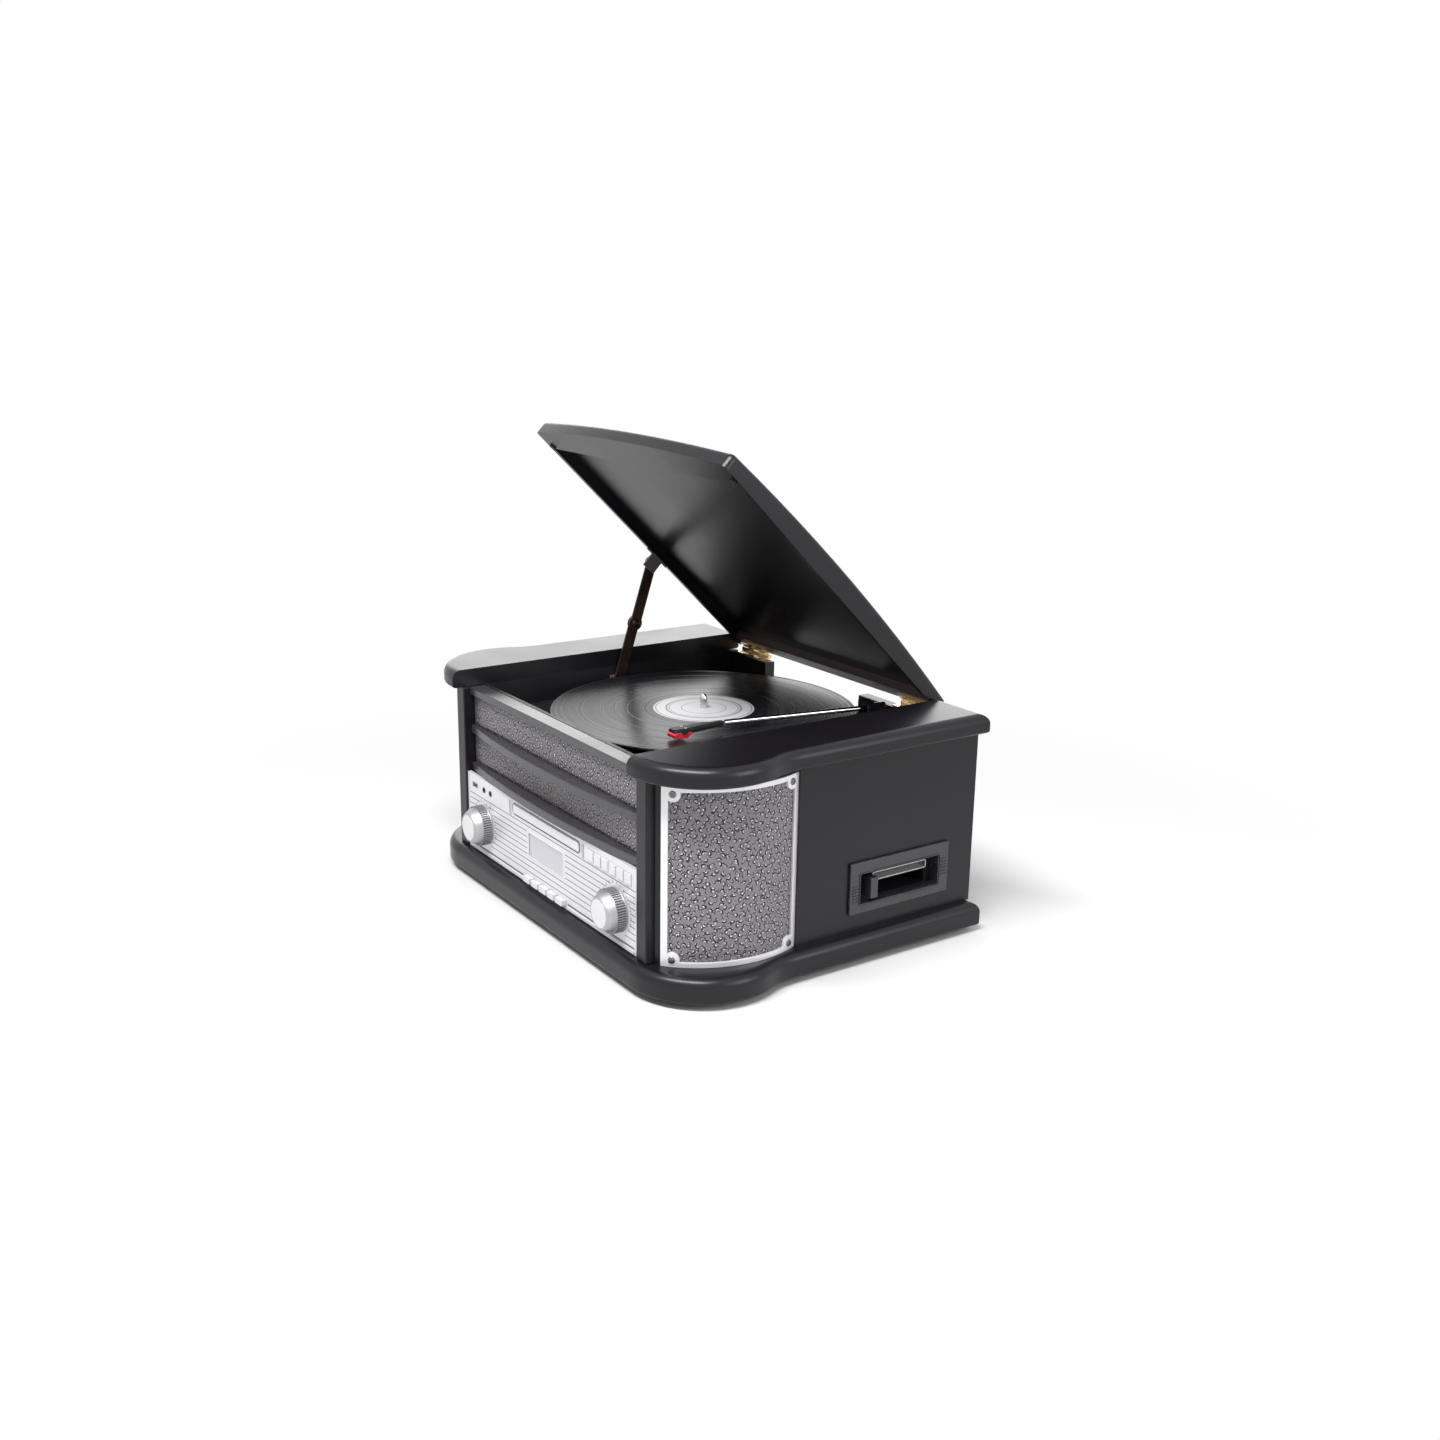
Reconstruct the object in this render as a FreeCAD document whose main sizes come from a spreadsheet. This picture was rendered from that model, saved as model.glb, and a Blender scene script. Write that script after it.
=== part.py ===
import FreeCAD, Part
import math
import os
import Sketcher
from FreeCAD import Placement, Rotation, Vector

# Black retro music centre: a turntable in a well under a hinged lid, a radio and disc panel on the
# front, a cassette slot in the right side and two speakers that wrap round the front corners.
# Millimetres, +Z up, the front looks towards -Y, and the feet stand on Z = 0.

# Driving dimensions. Distances towards the front are positive numbers, used with a minus sign on Y.
SIZES = {
    # Cabinet levels
    "foot_height": 6.0,
    "foot_radius": 12.0,
    "plinth_height": 23.0,
    "plinth_floor": 11.0,
    "wall_height": 168.0,
    "wing_thickness": 18.0,
    # Plan outline of the plinth and the two top wings
    "record_radius": 151.0,
    "centre_x": -3.5,
    "centre_y": 14.5,
    "record_side_room": 17.0,
    "record_front_room": 41.5,
    "record_rear_room": 5.0,
    "shoulder_width": 53.0,
    "overhang": 13.0,
    "bulge": 12.0,
    "wing_nose": 4.0,
    "curve_lead": 10.5,
    "plinth_rear_lip": 3.5,
    "wing_rear_lip": 1.5,
    "edge_round": 9.0,
    "lower_edge_round": 3.0,
    # Boards
    "side_thickness": 10.0,
    "rear_thickness": 12.0,
    "rear_drop": 1.0,
    "notch_left": 98.0,
    "notch_right": 61.0,
    "notch_depth": 18.0,
    "cleat_width": 14.0,
    "cleat_height": 15.0,
    # Front frame
    "pillar_inset": 2.0,
    "pillar_width": 16.0,
    "pillar_setback": 10.5,
    "pillar_depth": 24.0,
    "rail_setback": 17.5,
    "rail_height": 8.0,
    "bar_height": 8.5,
    "bar_bow": 11.0,
    "bar_setback": 18.0,
    "bar_depth": 10.0,
    "upper_bar_drop": 43.5,
    "bar_spacing": 39.5,
    "cloth_setback": 22.5,
    "cloth_thickness": 3.0,
    # Speakers
    "speaker_edge": 35.5,
    "speaker_radius": 103.5,
    "speaker_swell": 6.0,
    "speaker_rear_angle": 24.0,
    "speaker_front_angle": 50.5,
    "frame_thickness": 2.4,
    "frame_border": 6.0,
    "frame_rail": 4.5,
    "frame_clearance": 6.0,
    "lobe_radius": 6.8,
    "screw_radius": 3.2,
    "screw_height": 1.2,
    "screw_inset": 10.0,
    "screw_drop": 6.5,
    "speaker_cloth_thickness": 1.4,
    "baffle_thickness": 10.0,
    "baffle_end_angle": 58.0,
    "layer_gap": 0.1,
    "driver_angle": 13.0,
    "driver_half_size": 32.0,
    "driver_hole_radius": 29.0,
    "driver_plate": 3.0,
    "driver_depth": 24.0,
    "magnet_radius": 18.0,
    # Control panel
    "panel_setback": 12.5,
    "panel_thickness": 4.0,
    "panel_gap": 0.5,
    "fit_clearance": 0.3,
    "running_clearance": 0.05,
    "display_half_width": 33.5,
    "display_drop": 11.5,
    "display_height": 24.0,
    "display_sink": 0.6,
    "display_thickness": 2.0,
    "knob_inset": 35.5,
    "knob_rise": 33.0,
    "knob_height": 18.5,
    "knob_face_radius": 14.5,
    "knob_skirt_radius": 20.5,
    "knob_lip": 1.0,
    "knob_shaft_radius": 3.0,
    "control_half_size": 8.0,
    "control_depth": 12.5,
    "board_thickness": 1.6,
    "board_margin": 13.5,
    "board_rise": 2.0,
    "board_drop": 14.5,
    "lower_key_width": 13.0,
    "lower_key_pitch": 16.0,
    "lower_key_rise": 4.0,
    "lower_key_height": 6.0,
    "lower_key_proud": 5.0,
    "lower_key_travel": 1.2,
    "key_flange": 1.0,
    "upper_key_lead": 16.0,
    "upper_key_margin": 9.9,
    "upper_key_gap": 2.4,
    "upper_key_height": 10.5,
    "upper_key_proud": 1.4,
    "port_depth": 2.5,
    "usb_inset": 16.7,
    "usb_half_width": 6.2,
    "usb_half_height": 2.6,
    "front_jack_inset": 43.5,
    "front_jack_spacing": 14.0,
    "front_jack_radius": 1.9,
    # Disc drawer
    "disc_radius": 60.5,
    "tray_margin": 3.5,
    "tray_end": 5.0,
    "tray_drop": 6.75,
    "tray_height": 8.5,
    "tray_proud": 1.0,
    "tray_plate_rise": 1.5,
    "tray_plate_thickness": 5.0,
    "disc_sink": 2.5,
    "pickup_half_width": 20.0,
    "pickup_reach": 45.0,
    "loader_wall": 6.0,
    "loader_floor": 3.0,
    # Turntable
    "deck_thickness": 6.0,
    "well_depth": 27.0,
    "deck_margin": 9.5,
    "well_wall": 4.0,
    "spindle_radius": 3.6,
    "spindle_rise": 14.5,
    "bush_radius": 9.0,
    "bush_flange_radius": 13.5,
    "bush_depth": 20.0,
    "platter_gap": 2.0,
    "platter_rim_room": 9.5,
    "platter_height": 12.5,
    "platter_plate": 3.0,
    "belt_rim_radius": 60.0,
    "mat_thickness": 2.0,
    "record_thickness": 2.0,
    "label_radius": 50.0,
    "motor_gap": 18.0,
    "motor_angle": 150.0,
    "motor_radius": 16.0,
    "motor_height": 28.0,
    "pulley_radius": 6.0,
    "pulley_flange_radius": 7.5,
    "pulley_shaft_radius": 1.0,
    "motor_hole_radius": 3.0,
    "belt_thickness": 0.7,
    "belt_width": 3.6,
    # Tone arm
    "arm_gap": 11.0,
    "arm_bearing": 48.9,
    "arm_rise": 7.5,
    "arm_angle": -11.3,
    "arm_length": 153.0,
    "arm_tube_radius": 2.6,
    "arm_base_radius": 17.0,
    "arm_neck_radius": 8.0,
    "arm_weight_radius": 4.4,
    "arm_tail": 17.0,
    "arm_post_radius": 3.0,
    "arm_pin_radius": 1.45,
    "yoke_gap": 8.0,
    "yoke_cheek": 3.0,
    "yoke_reach": 6.0,
    "yoke_floor": 2.2,
    "headshell_turn": 12.0,
    "headshell_length": 53.0,
    "headshell_width": 15.0,
    "headshell_height": 5.0,
    "stylus_length": 12.0,
    "stylus_width": 7.0,
    "stylus_height": 2.8,
    "needle_radius": 0.5,
    "arm_rest_reach": 40.0,
    "arm_rest_depth": 6.0,
    "arm_swing_out": 21.0,
    "selector_inset": 28.0,
    "selector_y": 84.0,
    "selector_radius": 8.0,
    "selector_shaft_radius": 3.0,
    "selector_grip_half": 1.5,
    "selector_height": 8.0,
    # Cassette slot in the right side
    "bezel_low_y": 21.5,
    "bezel_rise": 17.0,
    "bezel_height": 49.5,
    "bezel_proud": 3.0,
    "bezel_border": 12.0,
    "bezel_border_low": 9.0,
    "sleeve_wall": 2.0,
    "transport_depth": 104.0,
    "transport_wall": 5.0,
    "slot_lead": 20.5,
    "slot_width": 66.0,
    "slot_margin": 6.5,
    "door_thickness": 1.6,
    "door_height": 13.6,
    "door_pin_radius": 1.0,
    "ear_width": 2.2,
    "cassette_key_lead": 9.5,
    "cassette_key_width": 8.5,
    "cassette_key_rise": 4.0,
    "cassette_key_height": 20.0,
    "cassette_key_proud": 3.0,
    "cassette_key_travel": 8.0,
    # Power and sockets
    "transformer_x": -120.0,
    "transformer_y": 95.0,
    "transformer_half_width": 32.0,
    "transformer_half_depth": 13.0,
    "transformer_height": 52.0,
    "coil_half_width": 16.0,
    "coil_half_depth": 26.0,
    "coil_inset": 10.0,
    "socket_inset": 71.0,
    "socket_rise": 36.0,
    "socket_half_width": 32.0,
    "socket_half_height": 20.0,
    "socket_plate": 2.0,
    "jack_radius": 4.2,
    "jack_bore_radius": 1.7,
    "jack_inset": 12.6,
    "jack_pitch": 16.8,
    "jack_length": 11.5,
    "inlet_inset": 8.0,
    "inlet_width": 16.0,
    "inlet_height": 9.0,
    "inlet_depth": 9.0,
    # Lid, hinges and folding stay
    "lid_side_gap": 3.5,
    "lid_overhang": 5.0,
    "lid_bow": 9.0,
    "lid_thickness": 13.5,
    "lid_crown": 7.5,
    "lid_hollow_depth": 10.0,
    "lid_rim": 5.0,
    "lid_front_rim": 24.0,
    "lid_cheek": 3.0,
    "lid_gap": 2.0,
    "lid_corner_round": 6.0,
    "lid_edge_round": 5.0,
    "lid_open_angle": 44.25,
    "lid_setback": 1.6,
    "strip_depth": 15.0,
    "bumper_inset": 8.0,
    "bumper_radius": 3.5,
    "bumper_height": 1.6,
    "hinge_inset": 1.5,
    "hinge_length": 50.0,
    "hinge_leaf": 1.2,
    "hinge_leaf_reach": 13.0,
    "hinge_barrel_radius": 2.4,
    "hinge_pin_radius": 1.2,
    "hinge_setback": 3.0,
    "stay_strip": 2.0,
    "stay_width": 12.5,
    "stay_eye_radius": 8.0,
    "stay_pin_radius": 2.0,
    "stay_pivot_y": 12.3,
    "stay_pivot_rise": 9.0,
    "stay_lid_drop": 9.0,
    "stay_bracket": 2.4,
    "stay_rivet_height": 1.2,
    "stay_rivet_radius": 4.0,
}

doc = FreeCAD.newDocument("music_centre")
sheet = doc.addObject("Spreadsheet::Sheet", "sizes")
for row, (alias, number) in enumerate(SIZES.items(), start=1):
    sheet.set(f"A{row}", alias)
    sheet.set(f"B{row}", str(number))
    sheet.setAlias(f"B{row}", alias)
doc.recompute()


class Size:
    """A dimension that carries its value and the sheet expression that gives it."""

    def __init__(self, value, text):
        self.value = value
        self.text = text

    def __add__(self, other):
        other = as_size(other)
        return Size(self.value + other.value, f"({self.text} + {other.text})")

    def __sub__(self, other):
        other = as_size(other)
        return Size(self.value - other.value, f"({self.text} - {other.text})")

    def __mul__(self, other):
        other = as_size(other)
        return Size(self.value * other.value, f"({self.text} * {other.text})")

    def __truediv__(self, other):
        other = as_size(other)
        return Size(self.value / other.value, f"({self.text} / {other.text})")

    def __neg__(self):
        return Size(-self.value, f"(0 - {self.text})")

    def __radd__(self, other):
        return as_size(other) + self

    def __rsub__(self, other):
        return as_size(other) - self

    def __rmul__(self, other):
        return as_size(other) * self


def as_size(number):
    """A plain number as a Size."""
    if isinstance(number, Size):
        return number
    return Size(float(number), f"({float(number)})")


def root(area):
    return Size(math.sqrt(area.value), f"sqrt({area.text})")


def cosine(angle):
    return Size(math.cos(math.radians(angle.value)), f"cos({angle.text})")


def sine(angle):
    return Size(math.sin(math.radians(angle.value)), f"sin({angle.text})")


class Sheet:
    """The sheet's cells as Sizes, by alias."""

    def __getattr__(self, alias):
        return Size(float(sheet.get(alias)), f"sizes.{alias}")


size = Sheet()
nodes = {}


# Drawing helpers

def bind(thing, **properties):
    """Tie properties to the sheet. Double underscores in a name stand for dots."""
    for name, amount in properties.items():
        thing.setExpression(name.replace("__", "."), as_size(amount).text)


def place(thing, x=0, y=0, z=0, axis=None, turn=None):
    """Put a thing at a point, turned about an axis if one is given."""
    if axis is not None:
        thing.Placement = Placement(Vector(), Rotation(Vector(*axis), as_size(turn).value))
        bind(thing, Placement__Rotation__Angle=turn)
    bind(thing, Placement__Base__x=x, Placement__Base__y=y, Placement__Base__z=z)
    return thing


def box(x_range, y_range, z_range):
    """A block between two planes along each axis."""
    block = doc.addObject("Part::Box", "block")
    bind(block, Length=x_range[1] - x_range[0], Width=y_range[1] - y_range[0], Height=z_range[1] - z_range[0])
    return place(block, x_range[0], y_range[0], z_range[0])


AXIS_TURNS = {"x": ((0, 1, 0), 90.0), "y": ((1, 0, 0), -90.0)}


def rod(axis, radius, span, first, second):
    """A round bar along an axis. first and second are its place on the other two axes, in X, Y, Z order."""
    bar = doc.addObject("Part::Cylinder", "bar")
    bind(bar, Radius=radius, Height=span[1] - span[0])
    if axis == "z":
        return place(bar, first, second, span[0])
    turn_axis, angle = AXIS_TURNS[axis]
    bar.Placement = Placement(Vector(), Rotation(Vector(*turn_axis), angle))
    if axis == "x":
        return place(bar, span[0], first, second)
    return place(bar, first, span[0], second)


def joined(*pieces):
    """One solid made of pieces that touch or overlap."""
    whole = doc.addObject("Part::MultiFuse", "joined")
    whole.Shapes = list(pieces)
    whole.Refine = True
    return whole


def group(*pieces):
    """Several separate solids in one node."""
    several = doc.addObject("Part::Compound", "group")
    several.Links = list(pieces)
    return several


def cut(base, *tools):
    """A base with tools taken out of it."""
    result = doc.addObject("Part::Cut", "cut")
    result.Base = base
    result.Tool = tools[0] if len(tools) == 1 else group(*tools)
    return result


def common(base, tool):
    """What two shapes share."""
    result = doc.addObject("Part::Common", "common")
    result.Base = base
    result.Tool = tool
    return result


def mirrored(source):
    """The same piece on the other side of the centre plane."""
    copy = doc.addObject("Part::Mirroring", "mirrored")
    copy.Source = source
    copy.Normal = Vector(1, 0, 0)
    return copy


def node(label, piece):
    """Name a finished sub-part."""
    piece.Label = label
    nodes[label] = piece
    return piece


LEFT = 1
RIGHT = -1


def arc_centre(start, end, radius, side):
    """Centre of the short arc from start to end that turns to the given side."""
    middle = (start + end) * 0.5
    chord = end - start
    height = math.sqrt(max(radius ** 2 - (chord.Length / 2) ** 2, 0.0))
    left = Vector(-chord.y, chord.x, 0).normalize()
    return middle + left * (side * height)


def draw_loop(sketch, corners):
    """Draw a closed loop. A corner is (x, y), or (x, y, radius, side) where an arc leads to the next."""
    first = sketch.GeometryCount
    ends = []
    for index, corner in enumerate(corners):
        following = corners[(index + 1) % len(corners)]
        start = Vector(as_size(corner[0]).value, as_size(corner[1]).value, 0)
        end = Vector(as_size(following[0]).value, as_size(following[1]).value, 0)
        if len(corner) == 2:
            sketch.addGeometry(Part.LineSegment(start, end), False)
            ends.append((1, 2))
            continue
        radius, side = corner[2].value, corner[3]
        centre = arc_centre(start, end, radius, side)
        begin, finish = (start, end) if side == LEFT else (end, start)
        angles = [math.atan2(point.y - centre.y, point.x - centre.x) for point in (begin, finish)]
        sketch.addGeometry(Part.ArcOfCircle(Part.Circle(centre, Vector(0, 0, 1), radius), *angles), False)
        ends.append((1, 2) if side == LEFT else (2, 1))
    for index, corner in enumerate(corners):
        here = first + index
        after = (index + 1) % len(corners)
        meeting = Sketcher.Constraint("Coincident", here, ends[index][1], first + after, ends[after][0])
        sketch.addConstraint(meeting)
        for kind, amount in (("DistanceX", corner[0]), ("DistanceY", corner[1])):
            limit = Sketcher.Constraint(kind, -1, 1, here, ends[index][0], as_size(amount).value)
            number = sketch.addConstraint(limit)
            sketch.setExpression(f"Constraints[{number}]", as_size(amount).text)
        if len(corner) == 4:
            number = sketch.addConstraint(Sketcher.Constraint("Radius", here, corner[2].value))
            sketch.setExpression(f"Constraints[{number}]", corner[2].text)


def sketch_on(body, plane, offset=0):
    """An empty sketch on one of a body's own planes, moved along that plane's normal."""
    support = [feature for feature in body.Origin.OriginFeatures if feature.Role == plane][0]
    sketch = body.newObject("Sketcher::SketchObject", "sketch")
    sketch.AttachmentSupport = (support, [""])
    sketch.MapMode = "FlatFace"
    bind(sketch, AttachmentOffset__Base__z=offset)
    return sketch


def plate(plane, offset, thickness, *loops):
    """A body padded from loops on a plane, along the plane's normal."""
    body = doc.addObject("PartDesign::Body", "body")
    sketch = sketch_on(body, plane, offset)
    for loop in loops:
        draw_loop(sketch, loop)
    pad = body.newObject("PartDesign::Pad", "pad")
    pad.Profile = sketch
    bind(pad, Length=thickness)
    return body


def turned(plane, loop):
    """A body of revolution about its plane's vertical axis. Loops are (radius, height)."""
    body = doc.addObject("PartDesign::Body", "body")
    sketch = sketch_on(body, plane)
    draw_loop(sketch, loop)
    spin = body.newObject("PartDesign::Revolution", "spin")
    spin.Profile = sketch
    spin.ReferenceAxis = (sketch, ["V_Axis"])
    spin.Angle = 360
    return body


def round_edges(body, radius, wanted):
    """Round the edges of a body's tip that the test picks."""
    doc.recompute()
    tip = body.Tip
    names = [f"Edge{number}" for number, edge in enumerate(tip.Shape.Edges, start=1) if wanted(edge)]
    fillet = body.newObject("PartDesign::Fillet", "rounding")
    fillet.Base = (tip, names)
    bind(fillet, Radius=radius)
    return body


def at_level(level):
    """A test for edges that lie flat at a level."""
    def flat(edge):
        return abs(edge.BoundBox.ZMin - level.value) < 0.01 and abs(edge.BoundBox.ZMax - level.value) < 0.01
    return flat


def rectangle(x_range, y_range):
    """A four-cornered loop."""
    return [
        (x_range[0], y_range[0]),
        (x_range[1], y_range[0]),
        (x_range[1], y_range[1]),
        (x_range[0], y_range[1]),
    ]


# Levels and lines that several pieces share, and how far a cut passes the face that it opens
zero = as_size(0)
overshoot = as_size(1)
plinth_top = size.foot_height + size.plinth_height
wall_top = plinth_top + size.wall_height
wing_top = wall_top + size.wing_thickness
deck_top = wall_top - size.well_depth
well_half = size.record_radius + size.record_side_room
cabinet_half = well_half + size.shoulder_width
wall_inner = cabinet_half - size.side_thickness
front_line = size.record_radius - size.centre_y + size.record_front_room
rear_face = size.record_radius + size.centre_y + size.record_rear_room
rear_inner = rear_face - size.rear_thickness
front_half = well_half - size.pillar_inset
pillar_front = front_line - size.pillar_setback
pillar_back = pillar_front - size.pillar_depth
pillar_outer = front_half + size.pillar_width
panel_front = front_line - size.panel_setback
panel_back = panel_front - size.panel_thickness
upper_bar = wall_top - size.upper_bar_drop
lower_bar = upper_bar - size.bar_spacing
panel_top = lower_bar - size.bar_height / 2
panel_low = plinth_top + size.panel_gap
panel_half = front_half - size.panel_gap
tray_half = size.disc_radius + size.tray_margin
tray_high = panel_top - size.tray_drop
tray_low = tray_high - size.tray_height
platter_low = deck_top + size.platter_gap
platter_top = platter_low + size.platter_height
mat_top = platter_top + size.mat_thickness
record_top = mat_top + size.record_thickness
arm_level = record_top + size.arm_rise

# The plan outline: straight sides, an outward S to the bulge, a round corner and a straight front
side_line = cabinet_half + size.overhang
bulge_line = side_line + size.bulge
corner_x = well_half + size.wing_nose
corner_radius = bulge_line - corner_x
corner_y = corner_radius - front_line
curve_start = size.speaker_edge + size.curve_lead
curve_length = -curve_start - corner_y
curve_radius = (size.bulge * size.bulge + curve_length * curve_length) / (4 * size.bulge)
curve_lean_x = (curve_radius - size.bulge / 2) / curve_radius
curve_lean_y = curve_length / (2 * curve_radius)


def curve_points(inset):
    """Start, middle and end of the outline's S and the front of its corner, moved in by an inset."""
    middle_x = side_line + size.bulge / 2 - inset * curve_lean_x
    middle_y = corner_y + curve_length / 2 - inset * curve_lean_y
    return {
        "start": (side_line - inset, -curve_start),
        "middle": (middle_x, middle_y),
        "end": (bulge_line - inset, corner_y),
        "front": (corner_x, inset - front_line),
    }


def outline_to_front(inset):
    """Corners of the right-hand outline from the S to the front straight."""
    point = curve_points(inset)
    return [
        (*point["start"], curve_radius + inset, LEFT),
        (*point["middle"], curve_radius - inset, RIGHT),
        (*point["end"], corner_radius - inset, RIGHT),
        point["front"],
    ]


def outline_to_rear(inset):
    """Corners of the left-hand outline from the front straight back to the straight side."""
    point = {name: (-x, y) for name, (x, y) in curve_points(inset).items()}
    return [
        (*point["front"], corner_radius - inset, RIGHT),
        (*point["end"], curve_radius - inset, RIGHT),
        (*point["middle"], curve_radius + inset, LEFT),
        point["start"],
    ]


# The speakers swell out of the front corners: each is an upright slice of a round about its own axis
speaker_x = cabinet_half + size.speaker_swell - size.speaker_radius
speaker_reach = size.speaker_radius * sine(size.speaker_rear_angle)
speaker_y = -size.speaker_edge - speaker_reach


def corner_band(outer_radius, inner_radius, border, end_angle, low, high):
    """A curved board in the right front corner, its rear end set in by a border."""
    behind_axis = speaker_reach - border
    rear_y = speaker_y + behind_axis
    outer_x = speaker_x + root(outer_radius * outer_radius - behind_axis * behind_axis)
    inner_x = speaker_x + root(inner_radius * inner_radius - behind_axis * behind_axis)
    end_x = cosine(end_angle)
    end_y = sine(end_angle)
    return plate("XY_Plane", low, high - low, [
        (outer_x, rear_y, outer_radius, RIGHT),
        (speaker_x + outer_radius * end_x, speaker_y - outer_radius * end_y),
        (speaker_x + inner_radius * end_x, speaker_y - inner_radius * end_y, inner_radius, LEFT),
        (inner_x, rear_y),
    ])


# Feet: four rubber discs under the plinth
foot_places = [
    (wall_inner - size.foot_radius, rear_inner - 2 * size.foot_radius),
    (corner_x, corner_y - size.foot_radius),
]
feet = []
for foot_x, foot_y in foot_places:
    feet.append(rod("z", size.foot_radius, (zero, size.foot_height), foot_x, foot_y))
    feet.append(rod("z", size.foot_radius, (zero, size.foot_height), -foot_x, foot_y))
node("rubber_feet", group(*feet))

# Plinth: moulded board with a round upper edge and a hollow that takes the works
plinth_rear = rear_face + size.plinth_rear_lip
plinth = plate("XY_Plane", size.foot_height, size.plinth_height, [
    (side_line, plinth_rear),
    *outline_to_front(zero),
    *outline_to_rear(zero),
    (-side_line, plinth_rear),
])
round_edges(plinth, size.edge_round, at_level(plinth_top))
round_edges(plinth, size.lower_edge_round, at_level(size.foot_height))
plinth_hollow = box(
    (size.side_thickness - wall_inner, wall_inner - size.side_thickness),
    (corner_y, rear_inner - size.rear_thickness),
    (size.foot_height + size.plinth_floor, wing_top),
)
node("plinth_base", cut(plinth, plinth_hollow))

# Side panels: straight boards behind the speakers, each with a cleat that carries the deck
deck_under = deck_top - size.deck_thickness
side_board = box((wall_inner, cabinet_half), (-size.speaker_edge, rear_face), (plinth_top, wall_top))
cleat = box(
    (wall_inner - size.cleat_width, wall_inner),
    (zero, rear_inner),
    (deck_under - size.cleat_height, deck_under),
)
left_panel = mirrored(joined(side_board, cleat))
node("left_side_panel", left_panel)
bezel_low = plinth_top + size.bezel_rise
bezel_high = bezel_low + size.bezel_height
slot_low_y = size.bezel_low_y + size.bezel_border + size.slot_lead
slot_high_y = slot_low_y + size.slot_width
bezel_y = (size.bezel_low_y + size.bezel_border, slot_high_y + size.slot_margin)
bezel_z = (bezel_low + size.bezel_border_low, bezel_high - size.bezel_border)
socket_level = plinth_top + size.socket_rise
socket_centre = wall_inner - size.socket_inset
sleeve_y = (bezel_y[0] - size.sleeve_wall, bezel_y[1] + size.sleeve_wall)
sleeve_z = (bezel_z[0] - size.sleeve_wall, bezel_z[1] + size.sleeve_wall)
cassette_hole = box((wall_inner, cabinet_half), sleeve_y, sleeve_z)
right_board = cut(joined(side_board, cleat), cassette_hole)
node("right_side_panel", right_board)

# Rear panel: upright board with a wide notch that a record's edge overhangs, and a hole for sockets
rear_top = wall_top - size.rear_drop
notch_level = rear_top - size.notch_depth
rear_board = plate("XZ_Plane", -rear_face, size.rear_thickness, [
    (-wall_inner, plinth_top),
    (wall_inner, plinth_top),
    (wall_inner, rear_top),
    (size.notch_right, rear_top),
    (size.notch_right, notch_level),
    (-size.notch_left, notch_level),
    (-size.notch_left, rear_top),
    (-wall_inner, rear_top),
], rectangle(
    (socket_centre - size.socket_half_width + size.sleeve_wall,
     socket_centre + size.socket_half_width - size.sleeve_wall),
    (socket_level - size.socket_half_height + size.sleeve_wall,
     socket_level + size.socket_half_height - size.sleeve_wall),
))
node("rear_panel", rear_board)

# Top wings: moulded boards that cap the walls on both sides of the well
wing_rear = rear_face + size.wing_rear_lip
wing = plate("XY_Plane", wall_top, size.wing_thickness, [
    (well_half, wing_rear),
    (side_line, wing_rear),
    *outline_to_front(zero),
    (well_half, -front_line),
])


def outer_edge_at(level):
    """A test for the wing's flat edges at a level, without the one along the well."""
    flat = at_level(level)
    return lambda edge: flat(edge) and edge.BoundBox.XMax > well_half.value + 0.01


round_edges(wing, size.edge_round, outer_edge_at(wing_top))
round_edges(wing, size.lower_edge_round, outer_edge_at(wall_top))
node("right_top_wing", wing)
node("left_top_wing", mirrored(wing))

# Front pillars, top rail and the two bowed bars between the grille cloths
pillar = box((front_half, pillar_outer), (-pillar_front, -pillar_back), (plinth_top, wall_top))
node("front_pillars", group(pillar, mirrored(pillar)))
rail_front = front_line - size.rail_setback
bar_front = front_line - size.bar_setback
rail = box(
    (-front_half, front_half),
    (-rail_front, -pillar_back),
    (wall_top - size.rail_height, wall_top),
)
node("front_top_rail", rail)
bow_square = front_half * front_half + size.bar_bow * size.bar_bow
bow_radius = bow_square / (2 * size.bar_bow)
bars = []
for level in (upper_bar, lower_bar):
    bar = plate("XY_Plane", level - size.bar_height / 2, size.bar_height, [
        (-front_half, -bar_front, bow_radius, LEFT),
        (front_half, -bar_front),
        (front_half, size.bar_depth - bar_front),
        (-front_half, size.bar_depth - bar_front),
    ])
    bars.append(bar)
node("grille_bars", group(*bars))

# Grille cloths: thin stretched panels between the bars
bar_half = size.bar_height / 2
cloth_front = front_line - size.cloth_setback
cloth_levels = [
    (upper_bar + bar_half, wall_top - size.rail_height),
    (lower_bar + bar_half, upper_bar - bar_half),
]
cloths = []
for low, high in cloth_levels:
    cloths.append(box(
        (-front_half, front_half),
        (-cloth_front, size.cloth_thickness - cloth_front),
        (low, high),
    ))
node("front_grille_cloths", group(*cloths))

# Speaker corners: baffle board, cloth, bright frame with round screw lobes, and the driver
frame_inner = size.speaker_radius - size.frame_thickness
cloth_outer = frame_inner - size.layer_gap
cloth_inner = cloth_outer - size.speaker_cloth_thickness
baffle_outer = cloth_inner - size.layer_gap
baffle_inner = baffle_outer - size.baffle_thickness
driver_turn = -size.driver_angle
driver_level = (plinth_top + wall_top) / 2
driver_face = root(
    baffle_inner * baffle_inner - size.driver_half_size * size.driver_half_size
) - size.fit_clearance


def radial_rod(angle, radius, span, level):
    """A round bar that points out of the speaker's axis at an angle below +X."""
    bar = doc.addObject("Part::Cylinder", "bar")
    bind(bar, Radius=radius, Height=span[1] - span[0])
    bar.Placement = Placement(Vector(), Rotation(Vector(0, 1, 0), 90))
    place(bar, span[0], zero, level)
    holder = group(bar)
    return place(holder, speaker_x, speaker_y, zero, (0, 0, 1), -angle)


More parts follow.
